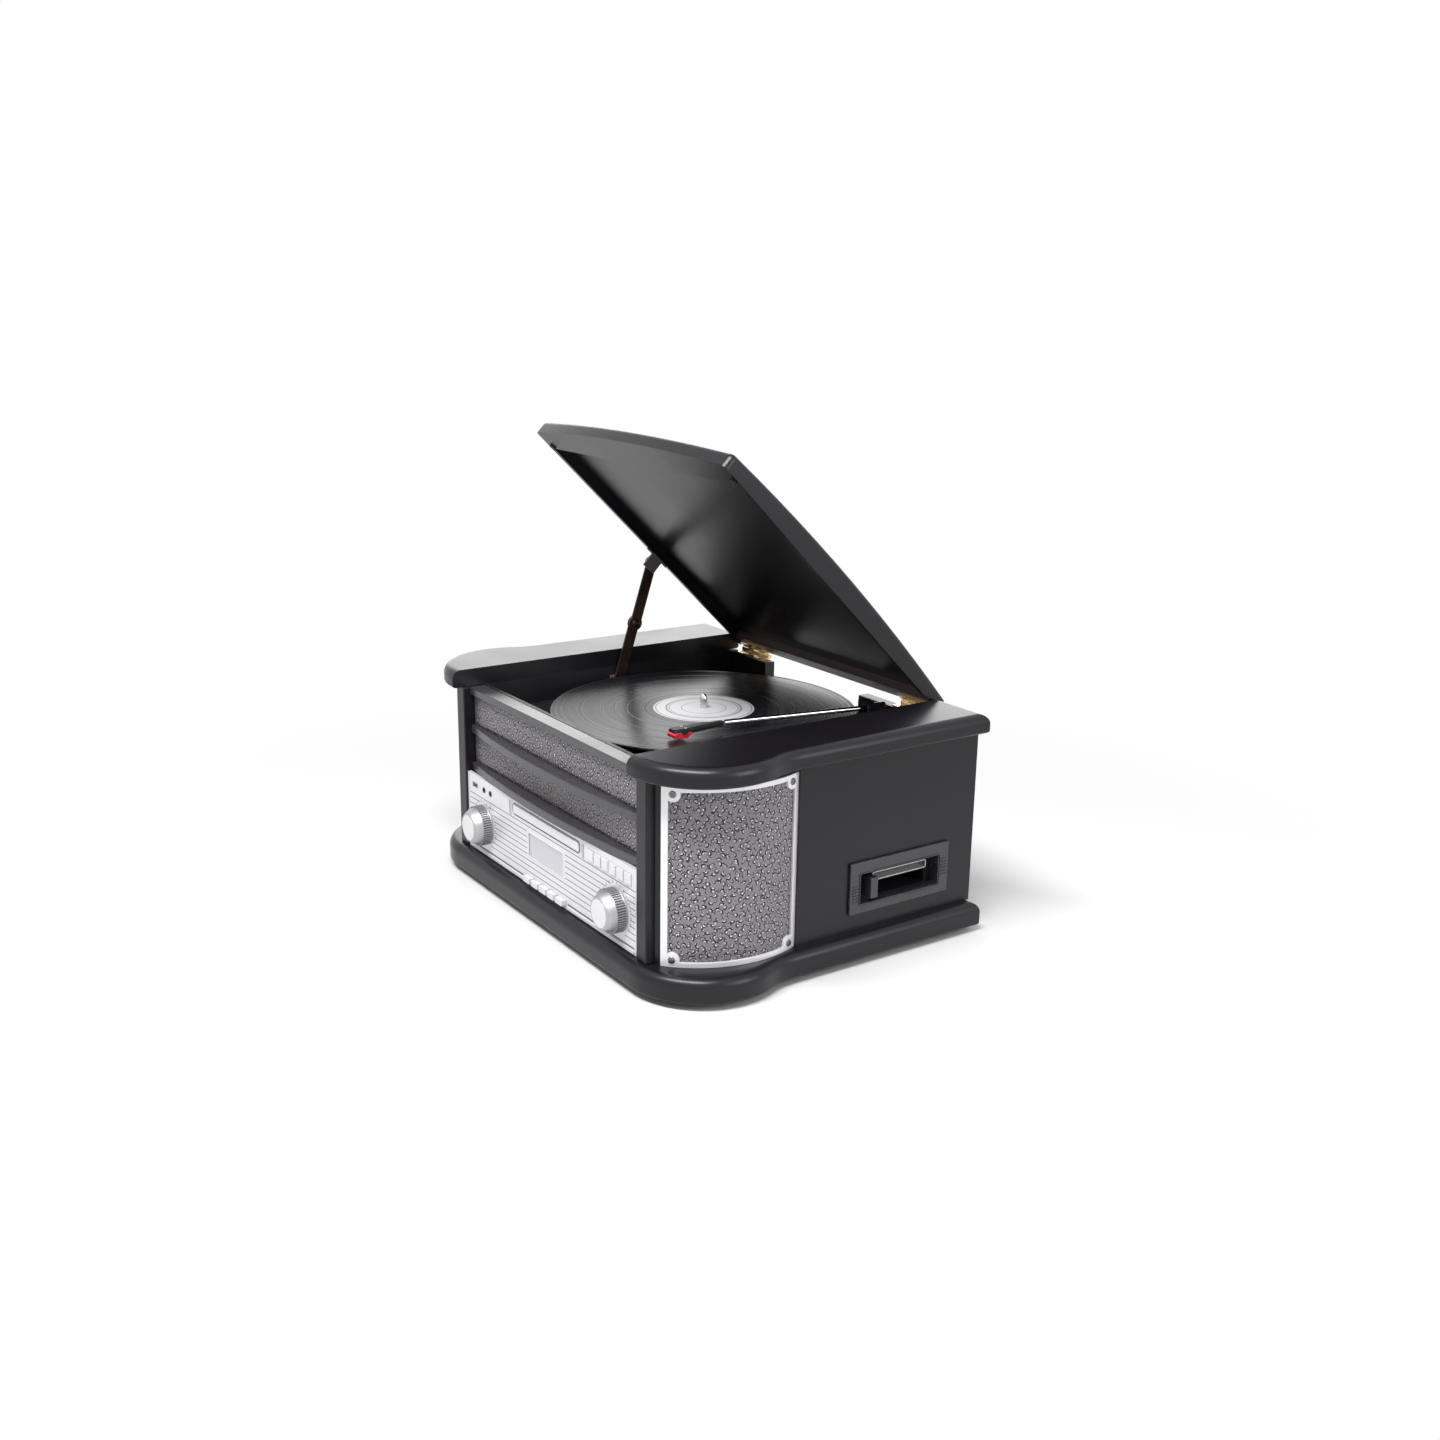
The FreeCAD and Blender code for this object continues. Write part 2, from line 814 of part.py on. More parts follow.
baffle_board = corner_band(
    baffle_outer, baffle_inner, zero, size.baffle_end_angle, plinth_top, wall_top)
driver_hole = radial_rod(
    size.driver_angle, size.driver_hole_radius, (driver_face, size.speaker_radius), driver_level)
right_baffle = cut(baffle_board, pillar, driver_hole)
node("speaker_baffles", group(right_baffle, mirrored(right_baffle)))

frame_low = plinth_top + size.layer_gap
frame_high = wall_top - size.frame_clearance
frame_band = corner_band(
    size.speaker_radius, frame_inner, zero, size.speaker_front_angle, frame_low, frame_high)
degrees_along = as_size(180) / (math.pi * size.speaker_radius)
window = corner_band(
    size.speaker_radius + size.frame_thickness,
    frame_inner - size.frame_thickness,
    size.frame_border,
    size.speaker_front_angle - size.frame_border * degrees_along,
    frame_low + size.frame_rail,
    frame_high - size.frame_rail,
)
screw_turn = size.screw_inset * degrees_along
lobe_span = (baffle_inner, size.speaker_radius + size.frame_thickness)
screw_seat = size.speaker_radius + size.layer_gap
screw_span = (screw_seat, screw_seat + size.screw_height)
lobes = []
screws = []
for level in (frame_low + size.screw_drop, frame_high - size.screw_drop):
    for angle in (size.speaker_front_angle - screw_turn, screw_turn - size.speaker_rear_angle):
        lobes.append(radial_rod(angle, size.lobe_radius, lobe_span, level))
        screws.append(radial_rod(angle, size.screw_radius, screw_span, level))
right_frame = joined(cut(frame_band, window), common(frame_band, group(*lobes)))
node("speaker_frames", group(right_frame, mirrored(right_frame)))
node("speaker_frame_screws", group(*screws, *[mirrored(screw) for screw in screws]))

right_cloth = corner_band(
    cloth_outer, cloth_inner, zero, size.speaker_front_angle, frame_low, frame_high)
node("speaker_cloths", group(right_cloth, mirrored(right_cloth)))

# Loudspeaker drivers: square basket plate, cone housing and magnet, behind the baffles
driver_plate = box(
    (driver_face - size.driver_plate, driver_face),
    (-size.driver_half_size, size.driver_half_size),
    (driver_level - size.driver_half_size, driver_level + size.driver_half_size),
)
driver_back = driver_face - size.driver_plate - size.driver_depth
driver_housing = rod("x", size.driver_hole_radius, (driver_face - 2 * size.driver_plate, driver_face),
                     zero, driver_level)
driver_magnet = rod("x", size.magnet_radius, (driver_back, driver_face), zero, driver_level)
right_driver = joined(driver_plate, driver_housing, driver_magnet)
place(right_driver, speaker_x, speaker_y, zero, (0, 0, 1), driver_turn)
node("speaker_drivers", group(right_driver, mirrored(right_driver)))

# Control panel: flat silver moulding with holes for the drawer, the display, the keys and the knobs
panel_board = box(
    (-panel_half, panel_half),
    (-panel_front, -panel_back),
    (panel_low, panel_top - size.panel_gap),
)
through_panel = (-panel_front - overshoot, overshoot - panel_back)
display_high = tray_low - size.display_drop
display_low = display_high - size.display_height
knob_offset = panel_half - size.knob_inset
knob_level = plinth_top + size.knob_rise
drawer_hole = box(
    (-tray_half - size.fit_clearance, tray_half + size.fit_clearance),
    through_panel,
    (tray_low - size.fit_clearance, tray_high + size.fit_clearance),
)
display_hole = box(
    (-size.display_half_width, size.display_half_width),
    through_panel,
    (display_low, display_high),
)
panel_tools = [drawer_hole, display_hole]
for side in (-1, 1):
    panel_tools.append(rod("y", size.knob_shaft_radius + size.fit_clearance, through_panel,
                           side * knob_offset, knob_level))
lower_key_count = 5
upper_key_count = 6
lower_key_places = []
for number in range(lower_key_count):
    lower_key_places.append(size.lower_key_pitch * (number - (lower_key_count - 1) / 2))
lower_key_low = plinth_top + size.lower_key_rise
upper_key_first = tray_half + size.upper_key_lead
upper_key_room = panel_half - size.upper_key_margin - upper_key_first
upper_key_pitch = (upper_key_room + size.upper_key_gap) / upper_key_count
upper_key_width = upper_key_pitch - size.upper_key_gap
upper_key_low = tray_high - size.upper_key_height
upper_key_places = []
for number in range(upper_key_count):
    upper_key_places.append(upper_key_first + upper_key_width / 2 + upper_key_pitch * number)


def key_hole(middle, width, low, height):
    """A slot in the panel round a key."""
    half = width / 2 + size.fit_clearance
    return box(
        (middle - half, middle + half),
        through_panel,
        (low - size.fit_clearance, low + height + size.fit_clearance),
    )


for middle in lower_key_places:
    panel_tools.append(key_hole(middle, size.lower_key_width, lower_key_low, size.lower_key_height))
for middle in upper_key_places:
    panel_tools.append(key_hole(middle, upper_key_width, upper_key_low, size.upper_key_height))
port_span = (-panel_front - overshoot, size.port_depth - panel_front)
port_level = (tray_low + tray_high) / 2
usb_offset = panel_half - size.usb_inset
front_jack_offset = panel_half - size.front_jack_inset
panel_tools.append(box(
    (-usb_offset - size.usb_half_width, size.usb_half_width - usb_offset),
    port_span,
    (port_level - size.usb_half_height, port_level + size.usb_half_height),
))
for side in (-1, 1):
    front_jack_x = side * size.front_jack_spacing / 2 - front_jack_offset
    panel_tools.append(rod("y", size.front_jack_radius, port_span, front_jack_x, port_level))
node("control_panel", cut(panel_board, *panel_tools))

# Display window: clear pane in the panel, a little below its face
window_front = size.display_sink - panel_front
node("display_window", box(
    (-size.display_half_width, size.display_half_width),
    (window_front, window_front + size.display_thickness),
    (display_low, display_high),
))

# Rotary controls behind the panel and the circuit board that carries them
control_span = (-panel_back, size.control_depth - panel_back)
controls = []
for side in (-1, 1):
    middle = side * knob_offset
    block = box(
        (middle - size.control_half_size, middle + size.control_half_size),
        control_span,
        (knob_level - size.control_half_size, knob_level + size.control_half_size),
    )
    bore = rod("y", size.knob_shaft_radius + size.running_clearance, control_span, middle, knob_level)
    controls.append(cut(block, bore))
node("knob_controls", group(*controls))
board_front = size.control_depth - panel_back
board_half = panel_half - size.board_margin
node("circuit_board", box(
    (-board_half, board_half),
    (board_front, board_front + size.board_thickness),
    (plinth_top + size.board_rise, tray_low - size.board_drop),
))

# Knobs: turned aluminium, a flat face, a cone and a wide skirt, on the control's shaft
knob_front = panel_front + size.knob_height
knob_back = -panel_front - size.fit_clearance * 2
knob_tip = board_front - size.fit_clearance
knob_lip = size.knob_lip
knob_loop = [
    (zero, -knob_front),
    (size.knob_face_radius, -knob_front),
    (size.knob_face_radius + knob_lip, knob_lip - knob_front),
    (size.knob_skirt_radius - 2 * knob_lip, knob_back - 5 * knob_lip),
    (size.knob_skirt_radius, knob_back - knob_lip),
    (size.knob_skirt_radius, knob_back),
    (size.knob_shaft_radius, knob_back),
    (size.knob_shaft_radius, knob_tip),
    (zero, knob_tip),
]
for label, side in (("volume_knob", 1), ("tuning_knob", -1)):
    knob = turned("XY_Plane", knob_loop)
    node(label, place(knob, side * knob_offset, zero, knob_level))

# Lower keys: five plungers with a flange behind the panel and a stem that meets the board's switch
key_flange_span = (size.fit_clearance - panel_back, size.fit_clearance - panel_back + size.key_flange)
stem_half = size.lower_key_height / 4
stem_end = board_front - size.lower_key_travel - size.fit_clearance
for number, middle in enumerate(lower_key_places, start=1):
    half = size.lower_key_width / 2
    middle_level = lower_key_low + size.lower_key_height / 2
    cap = box(
        (middle - half, middle + half),
        (-panel_front - size.lower_key_proud, key_flange_span[1]),
        (lower_key_low, lower_key_low + size.lower_key_height),
    )
    flange = box(
        (middle - half - size.key_flange, middle + half + size.key_flange),
        key_flange_span,
        (lower_key_low - size.key_flange, lower_key_low + size.lower_key_height + size.key_flange),
    )
    stem = box(
        (middle - stem_half, middle + stem_half),
        (key_flange_span[0], stem_end),
        (middle_level - stem_half, middle_level + stem_half),
    )
    node(f"lower_key_{number}", joined(cap, flange, stem))

# Upper keys: one moulded comb, six caps on a bar behind the panel
comb_caps = []
for middle in upper_key_places:
    half = upper_key_width / 2
    comb_caps.append(box(
        (middle - half, middle + half),
        (-panel_front - size.upper_key_proud, key_flange_span[1]),
        (upper_key_low, upper_key_low + size.upper_key_height),
    ))
comb_bar = box(
    (upper_key_places[0] - upper_key_width / 2, upper_key_places[-1] + upper_key_width / 2),
    key_flange_span,
    (upper_key_low, upper_key_low + size.upper_key_height),
)
node("upper_key_comb", joined(comb_bar, *comb_caps))

# Disc drawer: front bar, a tray with a round disc seat, and the loader that it slides in
tray_front = -panel_front - size.tray_proud
tray_start = -panel_back
tray_length = 2 * (size.disc_radius + size.tray_end)
tray_plate_low = tray_low + size.tray_plate_rise
tray_plate_half = tray_half - size.tray_proud
tray_plate_high = tray_plate_low + size.tray_plate_thickness
tray_bar = box((-tray_half, tray_half), (tray_front, tray_start),
               (tray_low, tray_high))
tray_plate = box(
    (-tray_plate_half, tray_plate_half),
    (tray_start, tray_start + tray_length),
    (tray_plate_low, tray_plate_high),
)
disc_centre = tray_start + tray_length / 2
disc_seat = rod("z", size.disc_radius, (tray_plate_high - size.disc_sink, tray_plate_high + overshoot),
                zero, disc_centre)
pickup_hole = box(
    (-size.pickup_half_width, size.pickup_half_width),
    (disc_centre - size.pickup_half_width, disc_centre + size.pickup_reach),
    (tray_plate_low, tray_plate_high),
)
node("cd_tray", cut(joined(tray_bar, tray_plate), disc_seat, pickup_hole))

tunnel_half = tray_plate_half + size.fit_clearance
loader_half = tunnel_half + size.loader_wall
loader_rear = tray_start + tray_length + size.loader_wall
loader_ledge = tray_plate_low - size.fit_clearance
loader_low = loader_ledge - 2 * size.loader_wall
loader = box((-loader_half, loader_half), (tray_start, loader_rear),
             (loader_low, tray_high + size.loader_wall))
tunnel = box((-tunnel_half, tunnel_half), (tray_start, loader_rear - size.loader_floor),
             (loader_ledge, tray_high + size.fit_clearance))
pickup_bay = box((size.loader_wall * 2 - tunnel_half, tunnel_half - size.loader_wall * 2),
                 (tray_start, loader_rear - size.loader_floor),
                 (loader_low + size.loader_floor, loader_ledge))
node("cd_loader", cut(loader, joined(tunnel, pickup_bay)))

# Turntable deck: tray with a floor and low walls, a moulded arm rest, and holes for bush and shafts
deck_half = well_half + size.well_wall
selector_x = well_half - size.selector_inset
deck_edge = wall_inner - size.deck_margin
deck_rear_floor = box((-deck_edge, deck_edge), (corner_y, rear_inner), (deck_under, deck_top))
deck_front_floor = box((-pillar_outer, pillar_outer), (-pillar_back, corner_y), (deck_under, deck_top))
deck_sides = []
for side in (-1, 1):
    inner, outer = sorted((side * well_half, side * deck_half), key=lambda line: line.value)
    deck_sides.append(box((inner, outer), (-pillar_back, rear_inner), (deck_top, wall_top)))
deck_front = box((-well_half, well_half), (-pillar_back, size.well_wall - pillar_back),
                 (deck_top, wall_top))
arm_reach = size.record_radius + size.arm_gap
arm_x = size.centre_x + arm_reach * cosine(size.arm_bearing)
arm_y = size.centre_y + arm_reach * sine(size.arm_bearing)
rest_swing = size.arm_angle + size.arm_swing_out
rest_x = arm_x + size.arm_length * sine(rest_swing)
rest_y = arm_y - size.arm_length * cosine(rest_swing)
rest_top = arm_level - size.headshell_height / 2 - size.fit_clearance
rest_hook_side = size.headshell_width / 2 + size.fit_clearance
rest_depth = (-size.arm_rest_reach, size.arm_rest_depth - size.arm_rest_reach)
rest_post = box((-size.well_wall, rest_hook_side + size.well_wall), rest_depth, (deck_top, rest_top))
rest_hook = box((rest_hook_side, rest_hook_side + size.well_wall), rest_depth, (rest_top, arm_level))
arm_rest = joined(rest_post, rest_hook)
place(arm_rest, rest_x, rest_y, zero, (0, 0, 1), rest_swing + size.headshell_turn)
motor_distance = size.belt_rim_radius + size.motor_gap
motor_x = size.centre_x + motor_distance * cosine(size.motor_angle)
motor_y = size.centre_y + motor_distance * sine(size.motor_angle)
deck_bores = [
    rod("z", size.bush_radius, (deck_under, deck_top), size.centre_x, size.centre_y),
    rod("z", size.motor_hole_radius, (deck_under, deck_top), motor_x, motor_y),
    rod("z", size.selector_shaft_radius + size.running_clearance, (deck_under, deck_top),
        selector_x, size.selector_y),
]
node("turntable_deck", cut(
    joined(deck_rear_floor, deck_front_floor, *deck_sides, deck_front, arm_rest), *deck_bores))

# Platter bearing: flanged bush in the deck with a closed foot
bush_top = platter_low - size.fit_clearance
bush_low = deck_top - size.bush_depth
bush_bore = size.spindle_radius + size.running_clearance
bush_floor = bush_low + size.platter_plate
bush = turned("XZ_Plane", [
    (zero, bush_low),
    (size.bush_radius, bush_low),
    (size.bush_radius, deck_top),
    (size.bush_flange_radius, deck_top),
    (size.bush_flange_radius, bush_top),
    (bush_bore, bush_top),
    (bush_bore, bush_floor),
    (zero, bush_floor),
])
node("platter_bearing", place(bush, size.centre_x, size.centre_y))

# Spindle: turned pin through platter and record, with a rounded tip
spindle_low = bush_floor + size.fit_clearance
spindle_top = record_top + size.spindle_rise
spindle_tip = size.spindle_radius / 2
spindle = turned("XZ_Plane", [
    (zero, spindle_low),
    (size.spindle_radius, spindle_low),
    (size.spindle_radius, spindle_top - spindle_tip),
    (spindle_tip, spindle_top),
    (zero, spindle_top),
])
node("spindle", place(spindle, size.centre_x, size.centre_y))

# Platter: dished wheel with a hub, a rim for the belt and an outer rim
web_under = platter_top - size.platter_plate
platter_bore = size.spindle_radius + size.running_clearance
belt_rim_inner = size.belt_rim_radius - size.platter_plate
outer_rim_inner = motor_distance + size.pulley_flange_radius + size.platter_rim_room
platter_radius = outer_rim_inner + size.platter_plate
platter = turned("XZ_Plane", [
    (platter_bore, platter_low),
    (size.bush_radius, platter_low),
    (size.bush_radius, web_under),
    (belt_rim_inner, web_under),
    (belt_rim_inner, platter_low),
    (size.belt_rim_radius, platter_low),
    (size.belt_rim_radius, web_under),
    (outer_rim_inner, web_under),
    (outer_rim_inner, platter_low + size.platter_plate),
    (platter_radius, platter_low + size.platter_plate),
    (platter_radius, platter_top),
    (platter_bore, platter_top),
])
node("platter", place(platter, size.centre_x, size.centre_y))

# Platter mat and record: the record is a disc with a raised label ground and a beaded edge
mat = turned("XZ_Plane", [
    (platter_bore, platter_top),
    (platter_radius - size.mat_thickness, platter_top),
    (platter_radius - size.mat_thickness, mat_top),
    (platter_bore, mat_top),
])
node("platter_mat", place(mat, size.centre_x, size.centre_y))
groove_top = record_top - size.record_thickness / 5
edge_bead = size.record_thickness
record = turned("XZ_Plane", [
    (platter_bore, mat_top),
    (size.record_radius, mat_top),
    (size.record_radius, record_top),
    (size.record_radius - edge_bead, record_top),
    (size.record_radius - 2 * edge_bead, groove_top),
    (size.label_radius + edge_bead, groove_top),
    (size.label_radius, record_top),
    (platter_bore, record_top),
])
node("record", place(record, size.centre_x, size.centre_y))

# Drive: motor under the deck, flanged pulley on its shaft, and a flat belt round pulley and platter
motor_low = deck_under - size.motor_height
shaft_bore = size.pulley_shaft_radius + size.running_clearance
bore_floor = deck_under - size.motor_height / 2
motor = turned("XZ_Plane", [
    (zero, motor_low),
    (size.motor_radius, motor_low),
    (size.motor_radius, deck_under),
    (shaft_bore, deck_under),
    (shaft_bore, bore_floor),
    (zero, bore_floor),
])
node("drive_motor", place(motor, motor_x, motor_y))
belt_low = platter_low + size.platter_plate / 2
belt_high = belt_low + size.belt_width
pulley_low = belt_low - size.platter_plate / 2 + size.fit_clearance
pulley_high = belt_high + size.fit_clearance + size.pulley_shaft_radius
pulley = turned("XZ_Plane", [
    (zero, bore_floor + size.fit_clearance),
    (size.pulley_shaft_radius, bore_floor + size.fit_clearance),
    (size.pulley_shaft_radius, pulley_low),
    (size.pulley_flange_radius, pulley_low),
    (size.pulley_flange_radius, belt_low - size.fit_clearance),
    (size.pulley_radius, belt_low - size.fit_clearance),
    (size.pulley_radius, belt_high + size.fit_clearance),
    (size.pulley_flange_radius, belt_high + size.fit_clearance),
    (size.pulley_flange_radius, pulley_high),
    (zero, pulley_high),
])
node("motor_pulley", place(pulley, motor_x, motor_y))


def belt_loop(offset):
    """The belt's line round both wheels, with the small wheel along +X. Each big arc is cut in two."""
    big = size.belt_rim_radius + offset
    small = size.pulley_radius + offset
    lean = (size.belt_rim_radius - size.pulley_radius) / motor_distance
    rise = root(1 - lean * lean)
    return [
        (big * lean, -big * rise),
        (motor_distance + small * lean, -small * rise, small, LEFT),
        (motor_distance + small * lean, small * rise),
        (big * lean, big * rise, big, LEFT),
        (-big, zero, big, LEFT),
    ]


belt_outer = size.running_clearance + size.belt_thickness
belt = plate("XY_Plane", belt_low, size.belt_width, belt_loop(belt_outer), belt_loop(size.running_clearance))
node("drive_belt", place(belt, size.centre_x, size.centre_y, zero, (0, 0, 1), size.motor_angle))

# Tone arm: pedestal on the deck, yoke that swings on it, and the tube that tips in the yoke.
# The pieces are drawn with the arm along -Y from its pivot and then turned to the arm's angle.
pedestal_top = arm_level - size.yoke_gap
post_bore = size.arm_post_radius + size.running_clearance
pedestal_floor = deck_top + size.platter_gap
pedestal = turned("XZ_Plane", [
    (zero, deck_top),
    (size.arm_base_radius, deck_top),
    (size.arm_base_radius, pedestal_top - size.yoke_gap),
    (size.arm_neck_radius, mat_top - size.fit_clearance),
    (size.arm_neck_radius, pedestal_top),
    (post_bore, pedestal_top),
    (post_bore, pedestal_floor),
    (zero, pedestal_floor),
])
node("tonearm_base", place(pedestal, arm_x, arm_y))


def on_arm(piece):
    """Move a piece drawn at the pivot to its place along the arm."""
    return place(piece, arm_x, arm_y, zero, (0, 0, 1), size.arm_angle)


yoke_low = record_top + size.fit_clearance
yoke_floor = yoke_low + size.yoke_floor
yoke_top = arm_level + size.yoke_reach
yoke_half = size.yoke_gap + size.yoke_cheek
post = rod("z", size.arm_post_radius, (pedestal_floor + size.fit_clearance, yoke_floor), zero, zero)
yoke_base = rod("z", yoke_half, (yoke_low, yoke_floor), zero, zero)
cheeks = []
for side in (-1, 1):
    inner, outer = sorted((side * size.yoke_gap, side * yoke_half), key=lambda line: line.value)
    cheeks.append(box((inner, outer), (-size.yoke_reach, size.yoke_reach), (yoke_low, yoke_top)))
pin_bore = rod("x", size.arm_pin_radius + size.running_clearance, (-yoke_half, yoke_half), zero, arm_level)
node("tonearm_gimbal", on_arm(cut(joined(post, yoke_base, *cheeks), pin_bore)))

arm_tube = rod("y", size.arm_tube_radius, (-size.arm_length, size.arm_tail), zero, arm_level)
arm_weight = rod("y", size.arm_weight_radius, (size.yoke_reach, size.arm_tail), zero, arm_level)
arm_pin = rod("x", size.arm_pin_radius, (-yoke_half, yoke_half), zero, arm_level)
node("tonearm_tube", on_arm(joined(arm_tube, arm_weight, arm_pin)))

# Headshell and stylus: drawn at the tube's end, turned a little further than the tube
joint_x = arm_x + size.arm_length * sine(size.arm_angle)
joint_y = arm_y - size.arm_length * cosine(size.arm_angle)
headshell_angle = size.arm_angle + size.headshell_turn
shell_half = size.headshell_width / 2
shell_low = arm_level - size.headshell_height / 2
shell_end = -size.headshell_length - size.stylus_length / 2


def on_joint(piece):
    """Move a piece drawn at the tube's end to its place in front of it."""
    return place(piece, joint_x, joint_y, zero, (0, 0, 1), headshell_angle)


shell_gap = size.arm_tube_radius
shell = plate("XY_Plane", shell_low, size.headshell_height, [
    (-shell_half / 2, -shell_gap),
    (-shell_half, -shell_gap - size.headshell_width),
    (-shell_half, shell_end + shell_half / 2),
    (-shell_half / 2, shell_end),
    (shell_half / 2, shell_end),
    (shell_half, shell_end + shell_half / 2),
    (shell_half, -shell_gap - size.headshell_width),
    (shell_half / 2, -shell_gap),
])
node("headshell", on_joint(shell))
stylus_tip = record_top + size.fit_clearance
stylus_body = box(
    (-size.stylus_width / 2, size.stylus_width / 2),
    (shell_end + size.fit_clearance, shell_end + size.fit_clearance + size.stylus_length),
    (shell_low - size.stylus_height, shell_low),
)
stylus_needle = rod("z", size.needle_radius, (stylus_tip, shell_low), zero, -size.headshell_length)
node("stylus", on_joint(joined(stylus_body, stylus_needle)))

# Speed selector: small turned knob with a shaft in the deck
selector_low = deck_top + size.fit_clearance
selector = turned("XZ_Plane", [
    (zero, deck_under),
    (size.selector_shaft_radius, deck_under),
    (size.selector_shaft_radius, selector_low),
    (size.selector_radius, selector_low),
    (size.selector_radius, selector_low + size.selector_height / 2),
    (zero, selector_low + size.selector_height / 2),
])
selector_grip = box(
    (-size.selector_grip_half, size.selector_grip_half),
    (-size.selector_radius, size.selector_radius),
    (selector_low, selector_low + size.selector_height),
)
selector_knob = joined(selector, selector_grip)
node("speed_selector", place(selector_knob, selector_x, size.selector_y))

# Cassette bezel: a raised frame on the right side with a sleeve through the board
bezel_face = box(
    (cabinet_half, cabinet_half + size.bezel_proud),
    (size.bezel_low_y, bezel_y[1] + size.bezel_border),
    (bezel_low, bezel_high),
)
bezel_sleeve = box((wall_inner, cabinet_half), sleeve_y, sleeve_z)
bezel_span = (wall_inner - overshoot, cabinet_half + size.bezel_proud + overshoot)
bezel_opening = box(bezel_span, bezel_y, bezel_z)
node("cassette_bezel", cut(joined(bezel_face, bezel_sleeve), bezel_opening))

# Cassette transport: box behind the slot with a bay for the cassette, a key bay and two door ears
transport_x = (wall_inner - size.transport_depth, wall_inner)
transport = box(
    transport_x,
    (sleeve_y[0], sleeve_y[1]),
    (bezel_z[0] - size.transport_wall, bezel_z[1] + size.transport_wall),
)
slot_y = (slot_low_y, slot_high_y)
cassette_bay = box((transport_x[0] + size.transport_wall, wall_inner), slot_y, bezel_z)
key_start = bezel_y[0] + size.cassette_key_lead
key_low = bezel_z[0] + size.cassette_key_rise
key_y = (key_start, key_start + size.cassette_key_width)
key_z = (key_low, key_low + size.cassette_key_height)
key_bay_end = wall_inner - 2 * size.cassette_key_travel - size.transport_wall
key_bay = box(
    (key_bay_end, wall_inner),
    (key_y[0] - size.fit_clearance, key_y[1] + size.fit_clearance),
    (key_z[0] - size.fit_clearance, key_z[1] + size.fit_clearance),
)
door_pin_x = wall_inner + size.ear_width + size.fit_clearance
door_top = bezel_z[1] - size.fit_clearance
door_pin_level = door_top - size.ear_width
ear_x = (wall_inner, door_pin_x + size.ear_width)
ear_z = (door_pin_level - size.ear_width, bezel_z[1])
ears = [
    box(ear_x, (slot_y[0] - size.ear_width, slot_y[0]), ear_z),
    box(ear_x, (slot_y[1], slot_y[1] + size.ear_width), ear_z),
]
door_bore = rod("y", size.door_pin_radius + size.running_clearance,
                (slot_y[0] - size.ear_width, slot_y[1] + size.ear_width), door_pin_x, door_pin_level)
node("cassette_transport", cut(joined(transport, *ears), cassette_bay, key_bay, door_bore))

# Cassette door: flap hung on two pins at its top edge
door_y = (slot_y[0] + size.fit_clearance, slot_y[1] - size.fit_clearance)
door_x = (door_pin_x - size.door_thickness / 2, door_pin_x + size.door_thickness / 2)
door_flap = box(door_x, door_y, (door_top - size.door_height, door_pin_level + size.door_pin_radius))
door_pin = rod("y", size.door_pin_radius, (slot_y[0] - size.ear_width, slot_y[1] + size.ear_width),
               door_pin_x, door_pin_level)
node("cassette_door", joined(door_flap, door_pin))

# Cassette key: push bar beside the slot for fast wind and eject
key_x = (
    key_bay_end + size.cassette_key_travel + size.fit_clearance,
    cabinet_half + size.bezel_proud + size.cassette_key_proud,
)
node("cassette_key", box(key_x, key_y, key_z))

# Mains transformer on the plinth floor, and the socket plate in the rear panel
floor_top = size.foot_height + size.plinth_floor
transformer_core = box(
    (size.transformer_x - size.transformer_half_width, size.transformer_x + size.transformer_half_width),
    (size.transformer_y - size.transformer_half_depth, size.transformer_y + size.transformer_half_depth),
    (floor_top, floor_top + size.transformer_height),
)
transformer_coil = box(
    (size.transformer_x - size.coil_half_width, size.transformer_x + size.coil_half_width),
    (size.transformer_y - size.coil_half_depth, size.transformer_y + size.coil_half_depth),
    (floor_top + size.coil_inset, floor_top + size.transformer_height - size.coil_inset),
)
node("mains_transformer", joined(transformer_core, transformer_coil))

socket_x = (socket_centre - size.socket_half_width, socket_centre + size.socket_half_width)
socket_z = (socket_level - size.socket_half_height, socket_level + size.socket_half_height)
socket_face = rear_face + size.socket_plate
socket_plate = box(socket_x, (rear_face, socket_face), socket_z)
socket_body = box(
    (socket_x[0] + size.sleeve_wall, socket_x[1] - size.sleeve_wall),
    (rear_inner, rear_face),
    (socket_z[0] + size.sleeve_wall, socket_z[1] - size.sleeve_wall),
)
inlet_x = (socket_x[0] + size.inlet_inset, socket_x[0] + size.inlet_inset + size.inlet_width)
inlet = box(
    inlet_x,
    (socket_face - size.inlet_depth, socket_face + overshoot),
    (socket_level - size.inlet_height / 2, socket_level + size.inlet_height / 2),
)
jacks = []
jack_bores = []
for level_step in (-1, 1):
    jack_level = socket_level + level_step * size.jack_pitch / 2
    jack_x = socket_x[1] - size.jack_inset
    jack_span = (rear_face, socket_face + size.jack_length)
    jacks.append(rod("y", size.jack_radius, jack_span, jack_x, jack_level))
    jack_bores.append(rod("y", size.jack_bore_radius, jack_span, jack_x, jack_level))
node("rear_sockets", cut(joined(socket_plate, socket_body, *jacks), inlet, *jack_bores))

# Lid: drawn shut, then swung open about the hinge line
hinge_y = rear_face + size.hinge_setback
cabinet_leaf_low = rear_top
cabinet_leaf_high = cabinet_leaf_low + size.hinge_leaf
lid_low = wall_top + size.lid_gap
lid_edge_high = lid_low + size.lid_thickness
lid_leaf_low = lid_low + size.fit_clearance
lid_leaf_high = lid_leaf_low + size.hinge_leaf
hinge_z = (cabinet_leaf_high + lid_leaf_low) / 2
lid_half = well_half - size.lid_side_gap
lid_rear = rear_face - size.lid_setback
lid_front = -front_line - size.lid_overhang
lid_bow_radius = (lid_half * lid_half + size.lid_bow * size.lid_bow) / (2 * size.lid_bow)


